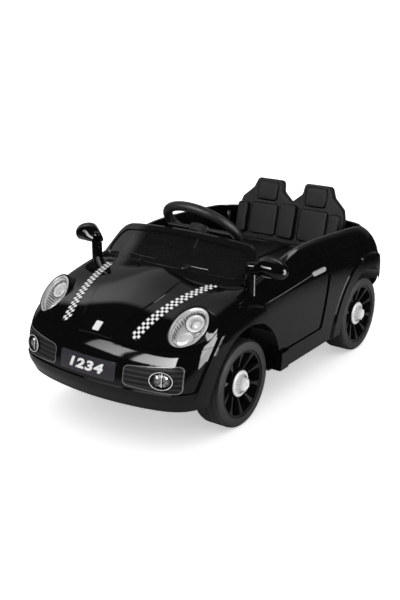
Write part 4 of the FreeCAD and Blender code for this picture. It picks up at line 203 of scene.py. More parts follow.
# %% [markdown]
# ## Light strip
# A light strip lies low at the car's left and draws the bright wedge on the front wing. It glows for
# mirrored rays only, between two bearings seen from the wing and from a certain distance on. For the
# camera the floor glows a little all over, which keeps it as white as the backdrop.

# %% Light strip on the floor
FLOOR_LIFT = 0.45
STRIP_START = (0.25, -0.39, 0.0)
STRIP_BEARING = (1.71, 2.24)
STRIP_SOFT = 0.03
STRIP_NEAR = (0.86, 0.94)
STRIP_LIGHT = 8.0

from_wing = add_node(floor_tree, "ShaderNodeVectorMath", operation="SUBTRACT")
floor_tree.links.new(ground, from_wing.inputs[0])
from_wing.inputs[1].default_value = STRIP_START
away = from_wing.outputs["Vector"]
strip_bearing = bearing_of(floor_tree, *axes_of(floor_tree, away)[:2])
strip = product(floor_tree, between(floor_tree, strip_bearing, *STRIP_BEARING, STRIP_SOFT),
                change(floor_tree, length_of(floor_tree, away), *STRIP_NEAR), STRIP_LIGHT)
lift = math_node(floor_tree, "MULTIPLY", floor_ray.outputs["Is Camera Ray"], FLOOR_LIFT)
mirrored_strip = math_node(floor_tree, "MULTIPLY", floor_ray.outputs["Is Glossy Ray"], strip)
floor_tree.links.new(math_node(floor_tree, "ADD", lift, mirrored_strip), paint.inputs["Emission Strength"])
paint.inputs["Emission Color"].default_value = (1, 1, 1, 1)
print("light strip between bearings", STRIP_BEARING)

# %% [markdown]
# ## Back wall
# The room is drawn by direction: to the car's left, to its rear and upward. The wall behind the car gives
# the bonnet its grey upper half. It is brightest at the car's right and high up, fades out to the left, and
# has a darker foot.

# %% Back wall
WALL_START = (0.11, 0.19)
WALL_LEFT = (-0.1, 0.35, 1.0, 0.0)
WALL_RIGHT = (-0.62, -0.38, 1.0, 0.55)
WALL_FOOT = (0.45, 0.57, 0.4, 1.0)
WALL_FADE = (0.15, 0.6, 1.15, 0.45)

world = bpy.data.worlds.new("studio_room")
bpy.context.scene.world = world
world.use_nodes = True
room = world.node_tree
to_left, to_rear, upward = axes_of(room, add_node(room, "ShaderNodeTexCoord").outputs["Generated"])
wall = product(room, change(room, to_rear, *WALL_START), change(room, to_left, *WALL_LEFT),
               change(room, to_left, *WALL_RIGHT), change(room, upward, *WALL_FOOT),
               change(room, to_rear, *WALL_FADE))
print("back wall from", WALL_FADE[2], "to", WALL_FADE[3])

# %% [markdown]
# ## Softboxes
# The front softbox makes the bright patches above the number plate, in two parts with a dark gap between
# them. The side softbox makes the bright patch on the wing, and the rear one lights what faces upward.

# %% Softboxes
BOX_SOFT = 0.02
FRONT_BOX = (-0.77, 0.42)
FRONT_GAP = (-0.44, -0.35)
FRONT_BOX_Z = (0.28, 0.62)
FRONT_LIGHT = (3.2, 17.0)
SIDE_BOX = (1.71, 2.20)
SIDE_BOX_Z = (-0.05, 0.33)
SIDE_LIGHT = 10.0
REAR_BOX_Y = 0.66
REAR_BOX_Z = (0.63, 0.85)
REAR_LIGHT = 2.4

bearing = bearing_of(room, to_left, to_rear)
front_box = product(room, between(room, bearing, *FRONT_BOX, BOX_SOFT),
                    between(room, upward, *FRONT_BOX_Z, BOX_SOFT),
                    change(room, bearing, *FRONT_BOX, *FRONT_LIGHT, kind="LINEAR"),
                    math_node(room, "SUBTRACT", 1.0, between(room, bearing, *FRONT_GAP, BOX_SOFT)))
side_box = product(room, between(room, bearing, *SIDE_BOX, BOX_SOFT),
                   between(room, upward, *SIDE_BOX_Z, BOX_SOFT), SIDE_LIGHT)
rear_box = product(room, change(room, to_rear, REAR_BOX_Y, REAR_BOX_Y + BOX_SOFT),
                   between(room, upward, *REAR_BOX_Z, BOX_SOFT), REAR_LIGHT)
print("softboxes: front", FRONT_LIGHT, "side", SIDE_LIGHT, "rear", REAR_LIGHT)

# %% [markdown]
# ## Light of the room
# Mirrored rays see the dark room with its wall and boxes. All other rays see an even white dome of
# strength 1, at which a colour renders about as it is written.

# %% Room light
ROOM_LIGHT = 1.0
ROOM_DARK = 0.012

glow = math_node(room, "ADD", wall, ROOM_DARK)
for box in (front_box, side_box, rear_box):
    glow = math_node(room, "ADD", glow, box)
level = add_node(room, "ShaderNodeMix", data_type="FLOAT")
room.links.new(add_node(room, "ShaderNodeLightPath").outputs["Is Glossy Ray"], level.inputs["Factor"])
level.inputs["A"].default_value = ROOM_LIGHT
room.links.new(glow, level.inputs["B"])
background = room.nodes["Background"]
background.inputs["Color"].default_value = (1, 1, 1, 1)
room.links.new(level.outputs["Result"], background.inputs["Strength"])
print("room: dome", ROOM_LIGHT)

# %% [markdown]
# ## Effects shared by several finishes
# Moulded plastic is never one flat colour: it has faint clouds of tone, a changing gloss and a very fine
# skin. Seat vinyl has a pebble grain, metal has fine streaks. Each effect is one node group with named
# inputs, so every material below can use it with its own values. All three start and end alike: clouds
# change the gloss, and a mask blends two tints.

# %% Parts of an effect
COLOUR = "NodeSocketColor"
NUMBER = "NodeSocketFloat"
EFFECT_INPUTS = [("Tint", COLOUR, (0.02, 0.02, 0.02, 1)), ("Second tint", COLOUR, (0.03, 0.03, 0.03, 1)),
                 ("Cloud scale", NUMBER, 8.0), ("Grain scale", NUMBER, 900.0),
                 ("Rough low", NUMBER, 0.3), ("Rough high", NUMBER, 0.4)]
EFFECT_OUTPUTS = [("Colour", COLOUR), ("Roughness", NUMBER), ("Height", NUMBER)]
NOISE_USUAL = (0.3, 0.7)


def noise(group, vector, scale, detail):
    node = add_node(group, "ShaderNodeTexNoise")
    node.inputs["Detail"].default_value = detail
    group.links.new(vector, node.inputs["Vector"])
    group.links.new(scale, node.inputs["Scale"])
    return node.outputs["Fac"]


def start_effect(name, cloud_detail):
    """A new group with its sockets, its place on the piece and its clouds, which change the gloss."""
    group = bpy.data.node_groups.new(name, "ShaderNodeTree")
    for label, kind, value in EFFECT_INPUTS:
        socket = group.interface.new_socket(name=label, in_out="INPUT", socket_type=kind)
        socket.default_value = value
    for label, kind in EFFECT_OUTPUTS:
        group.interface.new_socket(name=label, in_out="OUTPUT", socket_type=kind)
    given = add_node(group, "NodeGroupInput").outputs
    made = add_node(group, "NodeGroupOutput").inputs
    place = add_node(group, "ShaderNodeTexCoord").outputs["Object"]
    cloud = noise(group, place, given["Cloud scale"], cloud_detail)
    gloss = add_node(group, "ShaderNodeMapRange")
    gloss.inputs["From Min"].default_value, gloss.inputs["From Max"].default_value = NOISE_USUAL
    group.links.new(cloud, gloss.inputs["Value"])
    group.links.new(given["Rough low"], gloss.inputs["To Min"])
    group.links.new(given["Rough high"], gloss.inputs["To Max"])
    group.links.new(gloss.outputs["Result"], made["Roughness"])
    return group, given, made, place, cloud


def end_effect(group, given, made, mask, height):
    """Blends the two tints by a mask and puts out the relief."""
    tone = add_node(group, "ShaderNodeMix", data_type="RGBA")
    group.links.new(mask, tone.inputs["Factor"])
    group.links.new(given["Tint"], tone.inputs["A"])
    group.links.new(given["Second tint"], tone.inputs["B"])
    group.links.new(tone.outputs["Result"], made["Colour"])
    group.links.new(height, made["Height"])
    print("effect:", group.name)
    return group


# %% [markdown]
# ## Three effects
# Moulded skin has clouds and a fine noise as relief. Pebble grain takes the cells of a Voronoi texture,
# rounded at their edges. Brushed metal stretches a noise along one axis until it becomes streaks.

# %% Three effects
PEBBLE_ROUND = (0.0, 0.25)
STREAK_STRETCH = (0.04, 1.0, 1.0)


def moulded_skin():
    group, given, made, place, cloud = start_effect("moulded_skin", 3.0)
    grain = noise(group, place, given["Grain scale"], 2.0)
    return end_effect(group, given, made, cloud, grain)


def pebble_grain():
    group, given, made, place, cloud = start_effect("pebble_grain", 3.0)
    pebbles = add_node(group, "ShaderNodeTexVoronoi", feature="DISTANCE_TO_EDGE")
    group.links.new(place, pebbles.inputs["Vector"])
    group.links.new(given["Grain scale"], pebbles.inputs["Scale"])
    rounded = change(group, pebbles.outputs["Distance"], *PEBBLE_ROUND)
    return end_effect(group, given, made, math_node(group, "MULTIPLY", cloud, rounded), rounded)


def brushed_metal():
    group, given, made, place, cloud = start_effect("brushed_metal", 2.0)
    stretch = add_node(group, "ShaderNodeMapping")
    stretch.inputs["Scale"].default_value = STREAK_STRETCH
    group.links.new(place, stretch.inputs["Vector"])
    streaks = noise(group, stretch.outputs["Vector"], given["Grain scale"], 2.0)
    return end_effect(group, given, made, streaks, streaks)


MOULDED = moulded_skin()
PEBBLE = pebble_grain()
BRUSHED = brushed_metal()

# %% [markdown]
# ## A finish
# A finish places one effect in a material of its own. Values that are the same all over go straight on the
# shader; only what changes over the surface comes from the group.

# %% A finish
RELIEF_DEPTH = 0.0006


def surface(name, group, tint, second, rough, grain, bump, cloud=8.0, **plain):
    """A finish whose colour, gloss and fine relief come from one of the shared effects."""
    material = bpy.data.materials.new(name)
    material.use_nodes = True
    tree = material.node_tree
    shader = tree.nodes["Principled BSDF"]
    effect = add_node(tree, "ShaderNodeGroup", node_tree=group)
    effect.inputs["Tint"].default_value = (*tint, 1)
    effect.inputs["Second tint"].default_value = (*second, 1)
    effect.inputs["Cloud scale"].default_value = cloud
    effect.inputs["Grain scale"].default_value = grain
    effect.inputs["Rough low"].default_value, effect.inputs["Rough high"].default_value = rough
    relief = add_node(tree, "ShaderNodeBump")
    relief.inputs["Strength"].default_value = bump
    relief.inputs["Distance"].default_value = RELIEF_DEPTH
    tree.links.new(effect.outputs["Colour"], shader.inputs["Base Color"])
    tree.links.new(effect.outputs["Roughness"], shader.inputs["Roughness"])
    tree.links.new(effect.outputs["Height"], relief.inputs["Height"])
    tree.links.new(relief.outputs["Normal"], shader.inputs["Normal"])
    for label, value in plain.items():
        shader.inputs[label.replace("_", " ")].default_value = value
    return material


def grey(level, blue=1.0):
    return (level, level, level * blue)


print("finishes are made by surface()")

# %% [markdown]
# ## Outer finishes
# What the picture shows: the body is deep gloss black, the rims a little duller, the tyres matt, the hub
# caps silver. After the two tints come roughness, scale of the grain, strength of the relief and scale of
# the clouds. A finish is filed under the slot of the record that uses it, or under a name of its own.

# %% Outer finishes
METAL = {"Metallic": 1.0}
GRILLE_GLOSS = 0.25
FINISH = {
    "body_gloss": surface("gloss_black", MOULDED, grey(0.0022, 1.1), grey(0.004, 1.1), (0.03, 0.06), 260, 0.012, 5),
    "screen_frame": surface("frame_black", MOULDED, grey(0.005), grey(0.009), (0.06, 0.12), 400, 0.02),
    "rim_black": surface("rim_satin", MOULDED, grey(0.006), grey(0.011), (0.12, 0.22), 700, 0.05, 20),
    "tyre_black": surface("tyre_matt", MOULDED, grey(0.017), grey(0.028), (0.48, 0.62), 1500, 0.25, 30),
    "hub_silver": surface("hub_paint", MOULDED, grey(0.90), grey(0.98), (0.22, 0.32), 1600, 0.03, 40,
                          Metallic=0.1),
    "bright_trim": surface("bright_plate", MOULDED, grey(0.82), grey(0.92), (0.05, 0.12), 500, 0.01, 30,
                           Metallic=0.5),
    "bead_grey": surface("bead_plate", MOULDED, grey(0.26), grey(0.36), (0.15, 0.25), 700, 0.02, 30,
                         Metallic=0.6),
    "lamp_reflector": surface("reflector_plate", MOULDED, grey(0.92), grey(0.99), (0.06, 0.16), 300, 0.3, 60,
                              Metallic=0.12),
    "fog_plate": surface("fog_plate", MOULDED, grey(0.50), grey(0.65), (0.08, 0.18), 300, 0.2, 60,
                         Metallic=0.75),
    "tail_eye": surface("tail_eye", MOULDED, (0.50, 0.05, 0.04), (0.60, 0.09, 0.07), (0.05, 0.1), 700, 0.05, 60),
    # The next grey is far lighter than the body: on the cockpit edge and the door creases it is a painted highlight
    # line, in the headlight flutes it is painted shade against the bright bowl.
    "highlight_and_shade_grey": surface("highlight_and_shade_grey", MOULDED, grey(0.045), grey(0.07), (0.15, 0.25), 700, 0.02, 30),
    "lens_red": surface("tail_red", MOULDED, (0.30, 0.004, 0.004), (0.42, 0.01, 0.01), (0.05, 0.1), 700, 0.05, 60),
    "grille_black": surface("grille_matt", MOULDED, grey(0.030), grey(0.038), (0.4, 0.55), 1200, 0.1, 30,
                            Specular_IOR_Level=GRILLE_GLOSS),
    "badge_white": surface("badge_paint", MOULDED, grey(0.80), grey(0.88), (0.15, 0.25), 900, 0.02, 60),
    "plate_dark": surface("plate_film", MOULDED, (0.030, 0.027, 0.034), (0.040, 0.036, 0.045), (0.2, 0.3),
                          900, 0.03, 20),
    "mirror_silver": surface("mirror_film", MOULDED, grey(0.84), grey(0.88), (0.01, 0.03), 200, 0.0, 30, **METAL),
}
print("outer finishes:", len(FINISH))

# %% [markdown]
# ## Finishes inside and underneath
# Seat, tub, dash and pedal are grained, the switches are smooth paint, axle and motor are plated steel.
# Most of these pieces lie in shade, so their blacks are a little lighter than the body's.

# %% Inner finishes
FINISH.update({
    "seat_black": surface("seat_vinyl", PEBBLE, grey(0.005, 1.05), grey(0.015, 1.06), (0.30, 0.40), 520, 0.3, 9,
                          Specular_IOR_Level=0.2),
    "floor_black": surface("tub_matt", PEBBLE, grey(0.014), grey(0.03), (0.5, 0.62), 380, 0.3, 7),
    "dash_black": surface("dash_satin", PEBBLE, grey(0.012), grey(0.026), (0.4, 0.5), 600, 0.25, 10),
    "wheel_black": surface("grip_satin", PEBBLE, grey(0.012), grey(0.024), (0.34, 0.46), 900, 0.2, 20),
    "horn_grey": surface("horn_paint", MOULDED, grey(0.05), grey(0.07), (0.2, 0.3), 800, 0.03, 40),
    "button_red": surface("button_paint", MOULDED, (0.35, 0.012, 0.01), (0.45, 0.02, 0.018), (0.2, 0.3),
                          900, 0.03, 60),
    "rocker_grey": surface("rocker_paint", MOULDED, grey(0.09), grey(0.12), (0.25, 0.35), 900, 0.04, 60),
    "pedal_black": surface("pedal_matt", PEBBLE, grey(0.016), grey(0.032), (0.45, 0.6), 700, 0.3, 20),
    "steel": surface("plated_steel", BRUSHED, grey(0.42), grey(0.60), (0.22, 0.38), 900, 0.1, 20, **METAL),
    "beam_painted": surface("beam_paint", MOULDED, grey(0.012), grey(0.022), (0.3, 0.45), 600, 0.1, 15),
    "gearbox_white": surface("gear_case", MOULDED, (0.50, 0.49, 0.45), (0.58, 0.57, 0.53), (0.35, 0.5),
                             700, 0.1, 20),
    "motor_can": surface("motor_plate", BRUSHED, grey(0.48), grey(0.62), (0.25, 0.4), 1200, 0.08, 20, **METAL),
    "battery_grey": surface("battery_case", MOULDED, grey(0.06), grey(0.08), (0.35, 0.5), 700, 0.1, 20),
    "strap_black": surface("strap_matt", PEBBLE, grey(0.014), grey(0.03), (0.5, 0.65), 1400, 0.3, 30),
    "bush_white": surface("bush_nylon", MOULDED, grey(0.5), grey(0.6), (0.35, 0.45), 800, 0.05, 40),
    "control_black": surface("control_case", MOULDED, grey(0.02), grey(0.03), (0.4, 0.5), 700, 0.1, 20),
    "socket_black": surface("socket_case", MOULDED, grey(0.012), grey(0.02), (0.35, 0.5), 900, 0.1, 40),
})
print("finishes so far:", len(FINISH))

# %% [markdown]
# ## Slats of the grille
# The grille has level slats, and the floor between them lies in shadow. The slats stand in the solids, but they are
# so shallow that soft light fills the gaps. The grille's material therefore carries painted shade between the
# slats, set by its height above the ground, in its colour and its gloss.

# %% Slats of the grille
GRILLE_LOW = 0.152
SLAT_STEP = 0.062 / 6
SLAT_HALF = 0.0015 / SLAT_STEP
SLAT_SOFT = 0.04
GRILLE_PAINTED_SHADE = 0.42


def paint_shade_between_slats(material):
    """Paints shade on the floor of the grille between its level slats."""
    tree = material.node_tree
    shader = tree.nodes["Principled BSDF"]
    plain = shader.inputs["Base Color"].links[0].from_socket
    height = axes_of(tree, add_node(tree, "ShaderNodeTexCoord").outputs["Object"])[2]
    rise = math_node(tree, "SUBTRACT", height, GRILLE_LOW + SLAT_STEP / 2)
    turn = math_node(tree, "FRACT", math_node(tree, "DIVIDE", rise, SLAT_STEP), 0.0)
    slat = between(tree, turn, 0.5 - SLAT_HALF, 0.5 + SLAT_HALF, SLAT_SOFT)
    # Share of the colour kept: painted shade on the floor between the slats, full colour on the slats.
    share = change(tree, slat, 0.0, 1.0, GRILLE_PAINTED_SHADE, 1.0, kind="LINEAR")
    painted_shade = add_node(tree, "ShaderNodeMix", data_type="RGBA", blend_type="MULTIPLY")
    painted_shade.inputs["Factor"].default_value = 1.0
    tree.links.new(plain, painted_shade.inputs["A"])
    tree.links.new(share, painted_shade.inputs["B"])
    tree.links.new(painted_shade.outputs["Result"], shader.inputs["Base Color"])
    tree.links.new(math_node(tree, "MULTIPLY", share, GRILLE_GLOSS), shader.inputs["Specular IOR Level"])


paint_shade_between_slats(FINISH["grille_black"])
print("grille slats every", round(SLAT_STEP, 4))

# %% [markdown]
# ## Clear and smoked plastic
# Lamp lenses let light through and bend it; the windscreen is so darkly tinted that it reads as black with
# a faint view behind it. Both keep a plain transmission on the shader. The light that falls through a lens
# onto its bowl is hard to find for the renderer, so the lens fades out for the rays that only carry light.

# %% Clear plastics
CLEAR_IOR = 1.45
CLEAR_GLOSS = 0.35


def clear_plastic(name, tint, second, rough, passing, clear=1.0):
    material = surface(name, MOULDED, tint, second, rough, 500, 0.01, 12)
    tree = material.node_tree
    shader = tree.nodes["Principled BSDF"]
    shader.inputs["Transmission Weight"].default_value = clear
    shader.inputs["IOR"].default_value = CLEAR_IOR
    shader.inputs["Specular IOR Level"].default_value = CLEAR_GLOSS
    ray = add_node(tree, "ShaderNodeLightPath")
    carries = math_node(tree, "MAXIMUM", ray.outputs["Is Shadow Ray"], ray.outputs["Is Diffuse Ray"])
    solid = math_node(tree, "SUBTRACT", 1.0, math_node(tree, "MULTIPLY", carries, passing))
    tree.links.new(solid, shader.inputs["Alpha"])
    return material


FINISH["lens_clear"] = clear_plastic("lens_plastic", grey(0.93), grey(0.98), (0.0, 0.02), 0.95)
FINISH["smoked_pane"] = clear_plastic("pane_plastic", grey(0.042), grey(0.060), (0.02, 0.05), 0.2, 0.85)
print("finishes with clear plastics:", len(FINISH))

# %% [markdown]
# ## Smooth copies of the moulded panels
# A CAD node arrives as loose triangles, which a gloss finish would show as facets. Each node is copied,
# its doubled corners are merged and its faces are shaded smooth up to a crease angle. The copy stands for
# the node, rides on the same body and takes the finish of its slot. Only the rings of the fog lamps are
# black instead, because a thin bright ring of their own is laid on them further on.

# %% Smooth copies
MERGE = 0.00001
CREASE = math.radians(28)
OWN_FINISH = {"fog_lamp_rings": "rim_black"}


def only(piece):
    """Makes one object the only selected and the active one."""
    clear_selection()
    piece.select_set(True)
    bpy.context.view_layer.objects.active = piece


def copy_of(piece):
    only(piece)
    bpy.ops.object.duplicate()
    return bpy.context.object


@contextmanager
def open_mesh(piece):
    """Opens a mesh in edit mode with all of it selected, and closes it afterwards."""
    only(piece)
    bpy.ops.object.mode_set(mode="EDIT")
    bpy.ops.mesh.select_all(action="SELECT")
    yield
    bpy.ops.object.mode_set(mode="OBJECT")


skins = {}
for node_name, node in sorted(NODES.items()):
    skin = copy_of(node)
    skin.name = node_name + "_skin"
    skin.data.name = skin.name
    del skin["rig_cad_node"]
    bpy.ops.mesh.customdata_custom_splitnormals_clear()
    with open_mesh(skin):
        bpy.ops.mesh.remove_doubles(threshold=MERGE)
    bpy.ops.object.shade_smooth_by_angle(angle=CREASE)
    skin.data.materials.clear()
    skin.data.materials.append(FINISH[OWN_FINISH.get(node_name, SLOT_OF[node_name])])
    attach(skin, BODY_OF[node_name])
    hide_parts(node_name)
    skins[node_name] = skin
print("smooth copies:", len(skins), "with", sum(len(s.data.polygons) for s in skins.values()), "faces")

# %% [markdown]
# ## How the extra pieces are put on
# A few small helpers serve all the pieces below. One presses a flat sheet onto a moulded skin along an
# axis, as a film is laid on a panel. One gives a sheet its thickness. One bakes a finished piece's place
# into its mesh, paints it and hangs it on the body that carries it.


# %% Helpers for the extra pieces
def lay_on(piece, axis, positive, proud, target, second=None):
    """Presses a sheet along one axis onto a skin, a little proud of it."""
    press = piece.modifiers.new("press", "SHRINKWRAP")
    press.wrap_method = "PROJECT"
    press.wrap_mode = "ABOVE_SURFACE"
    press.target = target
    press.auxiliary_target = second
    setattr(press, "use_project_" + axis, True)
    press.use_positive_direction = positive
    press.use_negative_direction = not positive
    press.offset = proud
    only(piece)
    bpy.ops.object.modifier_apply(modifier=press.name)


def thicken(piece, thickness, offset=1.0):
    wall_of_piece = piece.modifiers.new("wall", "SOLIDIFY")
    wall_of_piece.thickness = thickness
    wall_of_piece.offset = offset
    only(piece)
    bpy.ops.object.modifier_apply(modifier=wall_of_piece.name)


def place_in_mesh(piece):
    only(piece)
    bpy.ops.object.transform_apply(location=True, rotation=True, scale=True)


def settle(piece, name, body, material):
    """Names a finished piece, paints it and hangs it on its body."""
    place_in_mesh(piece)
    piece.name = name
    piece.data.name = name
    piece.data.materials.clear()
    piece.data.materials.append(material)
    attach(piece, body)
    print(name, "rides on", body, "with", len(piece.data.polygons), "faces")


print("helpers for extra pieces ready")

# %% [markdown]
# ## Print of the ribbons
# Two printed ribbons, three squares wide, run from the foot of the windscreen to the front of the bonnet.
# They could be painted into the bonnet's material, but a film of its own follows its own direction. Its
# chequers are read from the film's own map, one unit to a square.

# %% Ribbon finish
RIBBON_ROWS = 3
RIBBON_SQUARE = 0.0072
RIBBON_INK = 0.006


def ribbon_finish():
    material = surface("ribbon_film", MOULDED, grey(0.80), grey(0.90), (0.12, 0.22), 900, 0.01, 50)
    tree = material.node_tree
    shader = tree.nodes["Principled BSDF"]
    white = shader.inputs["Base Color"].links[0].from_socket
    squares = add_node(tree, "ShaderNodeTexChecker")
    squares.inputs["Scale"].default_value = 1.0
    squares.inputs["Color2"].default_value = (*grey(RIBBON_INK), 1)
    tree.links.new(add_node(tree, "ShaderNodeUVMap").outputs["UV"], squares.inputs["Vector"])
    tree.links.new(white, squares.inputs["Color1"])
    tree.links.new(squares.outputs["Color"], shader.inputs["Base Color"])
    return material


RIBBON_FILM = ribbon_finish()
print("ribbon squares of", RIBBON_SQUARE)

# %% [markdown]
# ## Chequered ribbons on the bonnet
# A fine grid is laid over the bonnet and pressed onto it from above. Its map is measured along the film,
# so that every square keeps its size where the bonnet falls away.

# %% Ribbons
RIBBON_REAR = Vector((0.158, -0.226))
RIBBON_FRONT = Vector((0.099, -0.459))
RIBBON_STEPS = 90
FILM_PROUD = 0.0003
FILM_THICK = 0.0003
ABOVE_CAR = 0.6


def ribbon(side, name):
    rear = Vector((side * RIBBON_REAR.x, RIBBON_REAR.y))
    front = Vector((side * RIBBON_FRONT.x, RIBBON_FRONT.y))
    run = rear - front
    middle = (rear + front) / 2
    columns = 2 * RIBBON_ROWS
    clear_selection()
    bpy.ops.mesh.primitive_grid_add(x_subdivisions=columns, y_subdivisions=RIBBON_STEPS, size=1.0,
                                    location=(middle.x, middle.y, ABOVE_CAR),
                                    rotation=(0, 0, math.atan2(-run.x, run.y)))
    film = bpy.context.object
    film.scale = (RIBBON_ROWS * RIBBON_SQUARE, run.length, 1.0)
    place_in_mesh(film)
    lay_on(film, "z", False, FILM_PROUD, skins["bonnet"], skins["body_shell"])
    corners = film.data.vertices
    across = columns + 1
    reach = [0.0]
    for step in range(RIBBON_STEPS):
        here = corners[step * across + columns // 2].co
        there = corners[(step + 1) * across + columns // 2].co
        reach.append(reach[-1] + (there - here).length)
    chart = film.data.uv_layers.active.data
    for loop in film.data.loops:
        step, column = divmod(loop.vertex_index, across)
        chart[loop.index].uv = (column / 2, reach[step] / RIBBON_SQUARE)
    bpy.ops.object.shade_smooth()
    thicken(film, FILM_THICK)
    print("ribbon length", round(reach[-1], 3))
    settle(film, name, "chassis", RIBBON_FILM)


ribbon(1, "ribbon_left")
ribbon(-1, "ribbon_right")

# %% [markdown]
# ## Number on the plate
# A race number in bold slanted figures. Text is the quick way: it is thickened by its outline offset,
# slanted by its shear, made a mesh, sized to the plate, turned upright and pressed onto the curved plate.

# %% Number
NUMBER_WIDE = 0.098
NUMBER_TALL = 0.023
NUMBER_BOLD = 0.045
NUMBER_SLANT = 0.22
NUMBER_SPACING = 1.15
NUMBER_THICK = 0.0004
NUMBER_Z = 0.181
AHEAD_OF_CAR = -0.60
UPRIGHT = math.radians(90)


def extent(piece, axis):
    values = [corner.co[axis] for corner in piece.data.vertices]
    return min(values), max(values)


clear_selection()
bpy.ops.object.text_add(location=(0, 0, 0))
number = bpy.context.object
number.data.body = "1234"
number.data.align_x = "CENTER"
number.data.align_y = "CENTER"
number.data.shear = NUMBER_SLANT
number.data.offset = NUMBER_BOLD
number.data.space_character = NUMBER_SPACING
bpy.ops.object.convert(target="MESH")
number = bpy.context.object
left, right = extent(number, 0)
low, high = extent(number, 1)
number.scale = (NUMBER_WIDE / (right - left), NUMBER_TALL / (high - low), 1)
place_in_mesh(number)
with open_mesh(number):
    bpy.ops.mesh.quads_convert_to_tris()
    bpy.ops.mesh.subdivide(number_cuts=2)
number.rotation_euler = (UPRIGHT, 0, 0)
number.location = (0, AHEAD_OF_CAR, NUMBER_Z)
place_in_mesh(number)
number.location = (-sum(extent(number, 0)) / 2, 0, 0)
place_in_mesh(number)
lay_on(number, "y", True, FILM_PROUD, skins["number_plate"])
thicken(number, NUMBER_THICK)
settle(number, "plate_number", "chassis", FINISH["badge_white"])

# %% [markdown]
# ## Line of the cockpit's edge
# Moulders roll a thin shell's edge so that it is stiff and safe to touch. The edge is already in the shell,
# so its line is taken from there: it is where the outer skin meets the upright cockpit wall, on the
# cockpit's outline in plan, which is a rectangle with rounded rear corners.

# %% Line of the cockpit's edge
COCKPIT_HALF = 0.222
COCKPIT_REAR = 0.404
COCKPIT_CORNER = 0.055
EDGE_NEAR = 0.0008
EDGE_LOWEST = 0.25
EDGE_FRONT = -0.17
WALL_UPRIGHT = 0.2
SKIN_LEVEL = 0.25


def on_cockpit_line(point):
    """True where a point lies on the plan outline of the cockpit."""
    over_x = abs(point.x) - (COCKPIT_HALF - COCKPIT_CORNER)
    over_y = point.y - (COCKPIT_REAR - COCKPIT_CORNER)
    if point.z < EDGE_LOWEST or point.y < EDGE_FRONT:
        return False
    if over_x > 0 and over_y > 0:
        return abs(math.hypot(over_x, over_y) - COCKPIT_CORNER) < EDGE_NEAR
    return abs(over_x - COCKPIT_CORNER) < EDGE_NEAR or abs(over_y - COCKPIT_CORNER) < EDGE_NEAR


def is_cockpit_edge(edge):
    if len(edge.link_faces) != 2 or not all(on_cockpit_line(corner.co) for corner in edge.verts):
        return False
    steep = sorted(abs(face.normal.z) for face in edge.link_faces)
    return steep[0] < WALL_UPRIGHT and steep[1] > SKIN_LEVEL


print("cockpit outline", 2 * COCKPIT_HALF, "wide")

# %% [markdown]
# ## Rolled edge round the cockpit
# A copy of the shell keeps only the edges of that line. They become a curve, and the curve gets a round
# section with closed ends.

# %% Cockpit edge
LIP_RADIUS = 0.0022
LIP_FINENESS = 3


def round_line(line, radius, fineness):
    """Gives a line of edges a round section with closed ends."""
    only(line)
    bpy.ops.object.convert(target="CURVE")
    curve = bpy.context.object.data
    curve.bevel_depth = radius
    curve.bevel_resolution = fineness
    curve.use_fill_caps = True
    bpy.ops.object.convert(target="MESH")
    return bpy.context.object


lip = copy_of(skins["body_shell"])
for key in list(lip.keys()):
    del lip[key]
with open_mesh(lip):
    bpy.ops.mesh.select_mode(type="EDGE")
    shell_mesh = bmesh.from_edit_mesh(lip.data)
    kept = [edge for edge in shell_mesh.edges if is_cockpit_edge(edge)]
    bpy.ops.mesh.select_all(action="SELECT")
    for edge in kept:
        edge.select_set(False)
    shell_mesh.select_flush_mode()
    bmesh.update_edit_mesh(lip.data)
    bpy.ops.mesh.delete(type="EDGE")
print("cockpit edges kept:", len(lip.data.edges))
lip = round_line(lip, LIP_RADIUS, LIP_FINENESS)
bpy.ops.object.shade_smooth_by_angle(angle=CREASE)
# The edge's grey, lighter than the body, is a painted highlight along it.
settle(lip, "cockpit_lip", "chassis", FINISH["highlight_and_shade_grey"])

# %% [markdown]
# ## Pairs of pieces
# Lamps, creases and trays come in pairs. A piece is built once, at the origin or on the car's left, and
# moved by a frame, such as the lamp's own one, taken from the solids. A mirrored copy goes to the right.
# Mirroring turns a mesh inside out, so its faces are turned outwards again.

# %% Pairs of pieces
MIRRORED = Matrix.Scale(-1, 4, (1, 0, 0))
IN_PLACE = Matrix.Identity(4)


def face_outwards(piece):
    with open_mesh(piece):
        bpy.ops.mesh.normals_make_consistent(inside=False)


def both_sides(piece, move, name, material):
    """Moves a piece to its place on the left and puts a mirrored copy on the right."""
    twin = copy_of(piece)
    for half, placing, side in ((piece, move, "_left"), (twin, MIRRORED @ move, "_right")):
        half.data.transform(placing)
        face_outwards(half)
        bpy.ops.object.shade_smooth_by_angle(angle=CREASE)
        settle(half, name + side, "chassis", material)


print("pairs are made by both_sides()")

# %% [markdown]
# ## Inside the fog lamps
# Behind each oval lens sit a dark liner and two bright oval reflectors. A bowl could be turned for the
# liner, but it is almost flat, so a disc is pressed into a dish by two insets.

# %% Fog lamp liners
FOG_FRAME = Matrix(((0.9395, -0.0579, 0.3377, 0.1870), (0.3427, 0.1587, -0.9260, -0.4769),
                    (0.0, 0.9856, 0.1689, 0.1810), (0, 0, 0, 1)))
FOG_LINER = (0.0232, 0.0162)
FOG_LINER_THICK = 0.0006
FOG_FLOOR = -0.0095
FOG_DISH = ((0.0015, -0.0012), (0.002, -0.0006))

clear_selection()
bpy.ops.mesh.primitive_circle_add(vertices=48, radius=1.0, fill_type="NGON")
liner = bpy.context.object
liner.scale = (*FOG_LINER, 1)
liner.location = (0, 0, FOG_FLOOR)
place_in_mesh(liner)
with open_mesh(liner):
    for inset, depth in FOG_DISH:
        bpy.ops.mesh.inset(thickness=inset, depth=depth)
thicken(liner, FOG_LINER_THICK, -1.0)
both_sides(liner, FOG_FRAME, "fog_liner", FINISH["rim_black"])

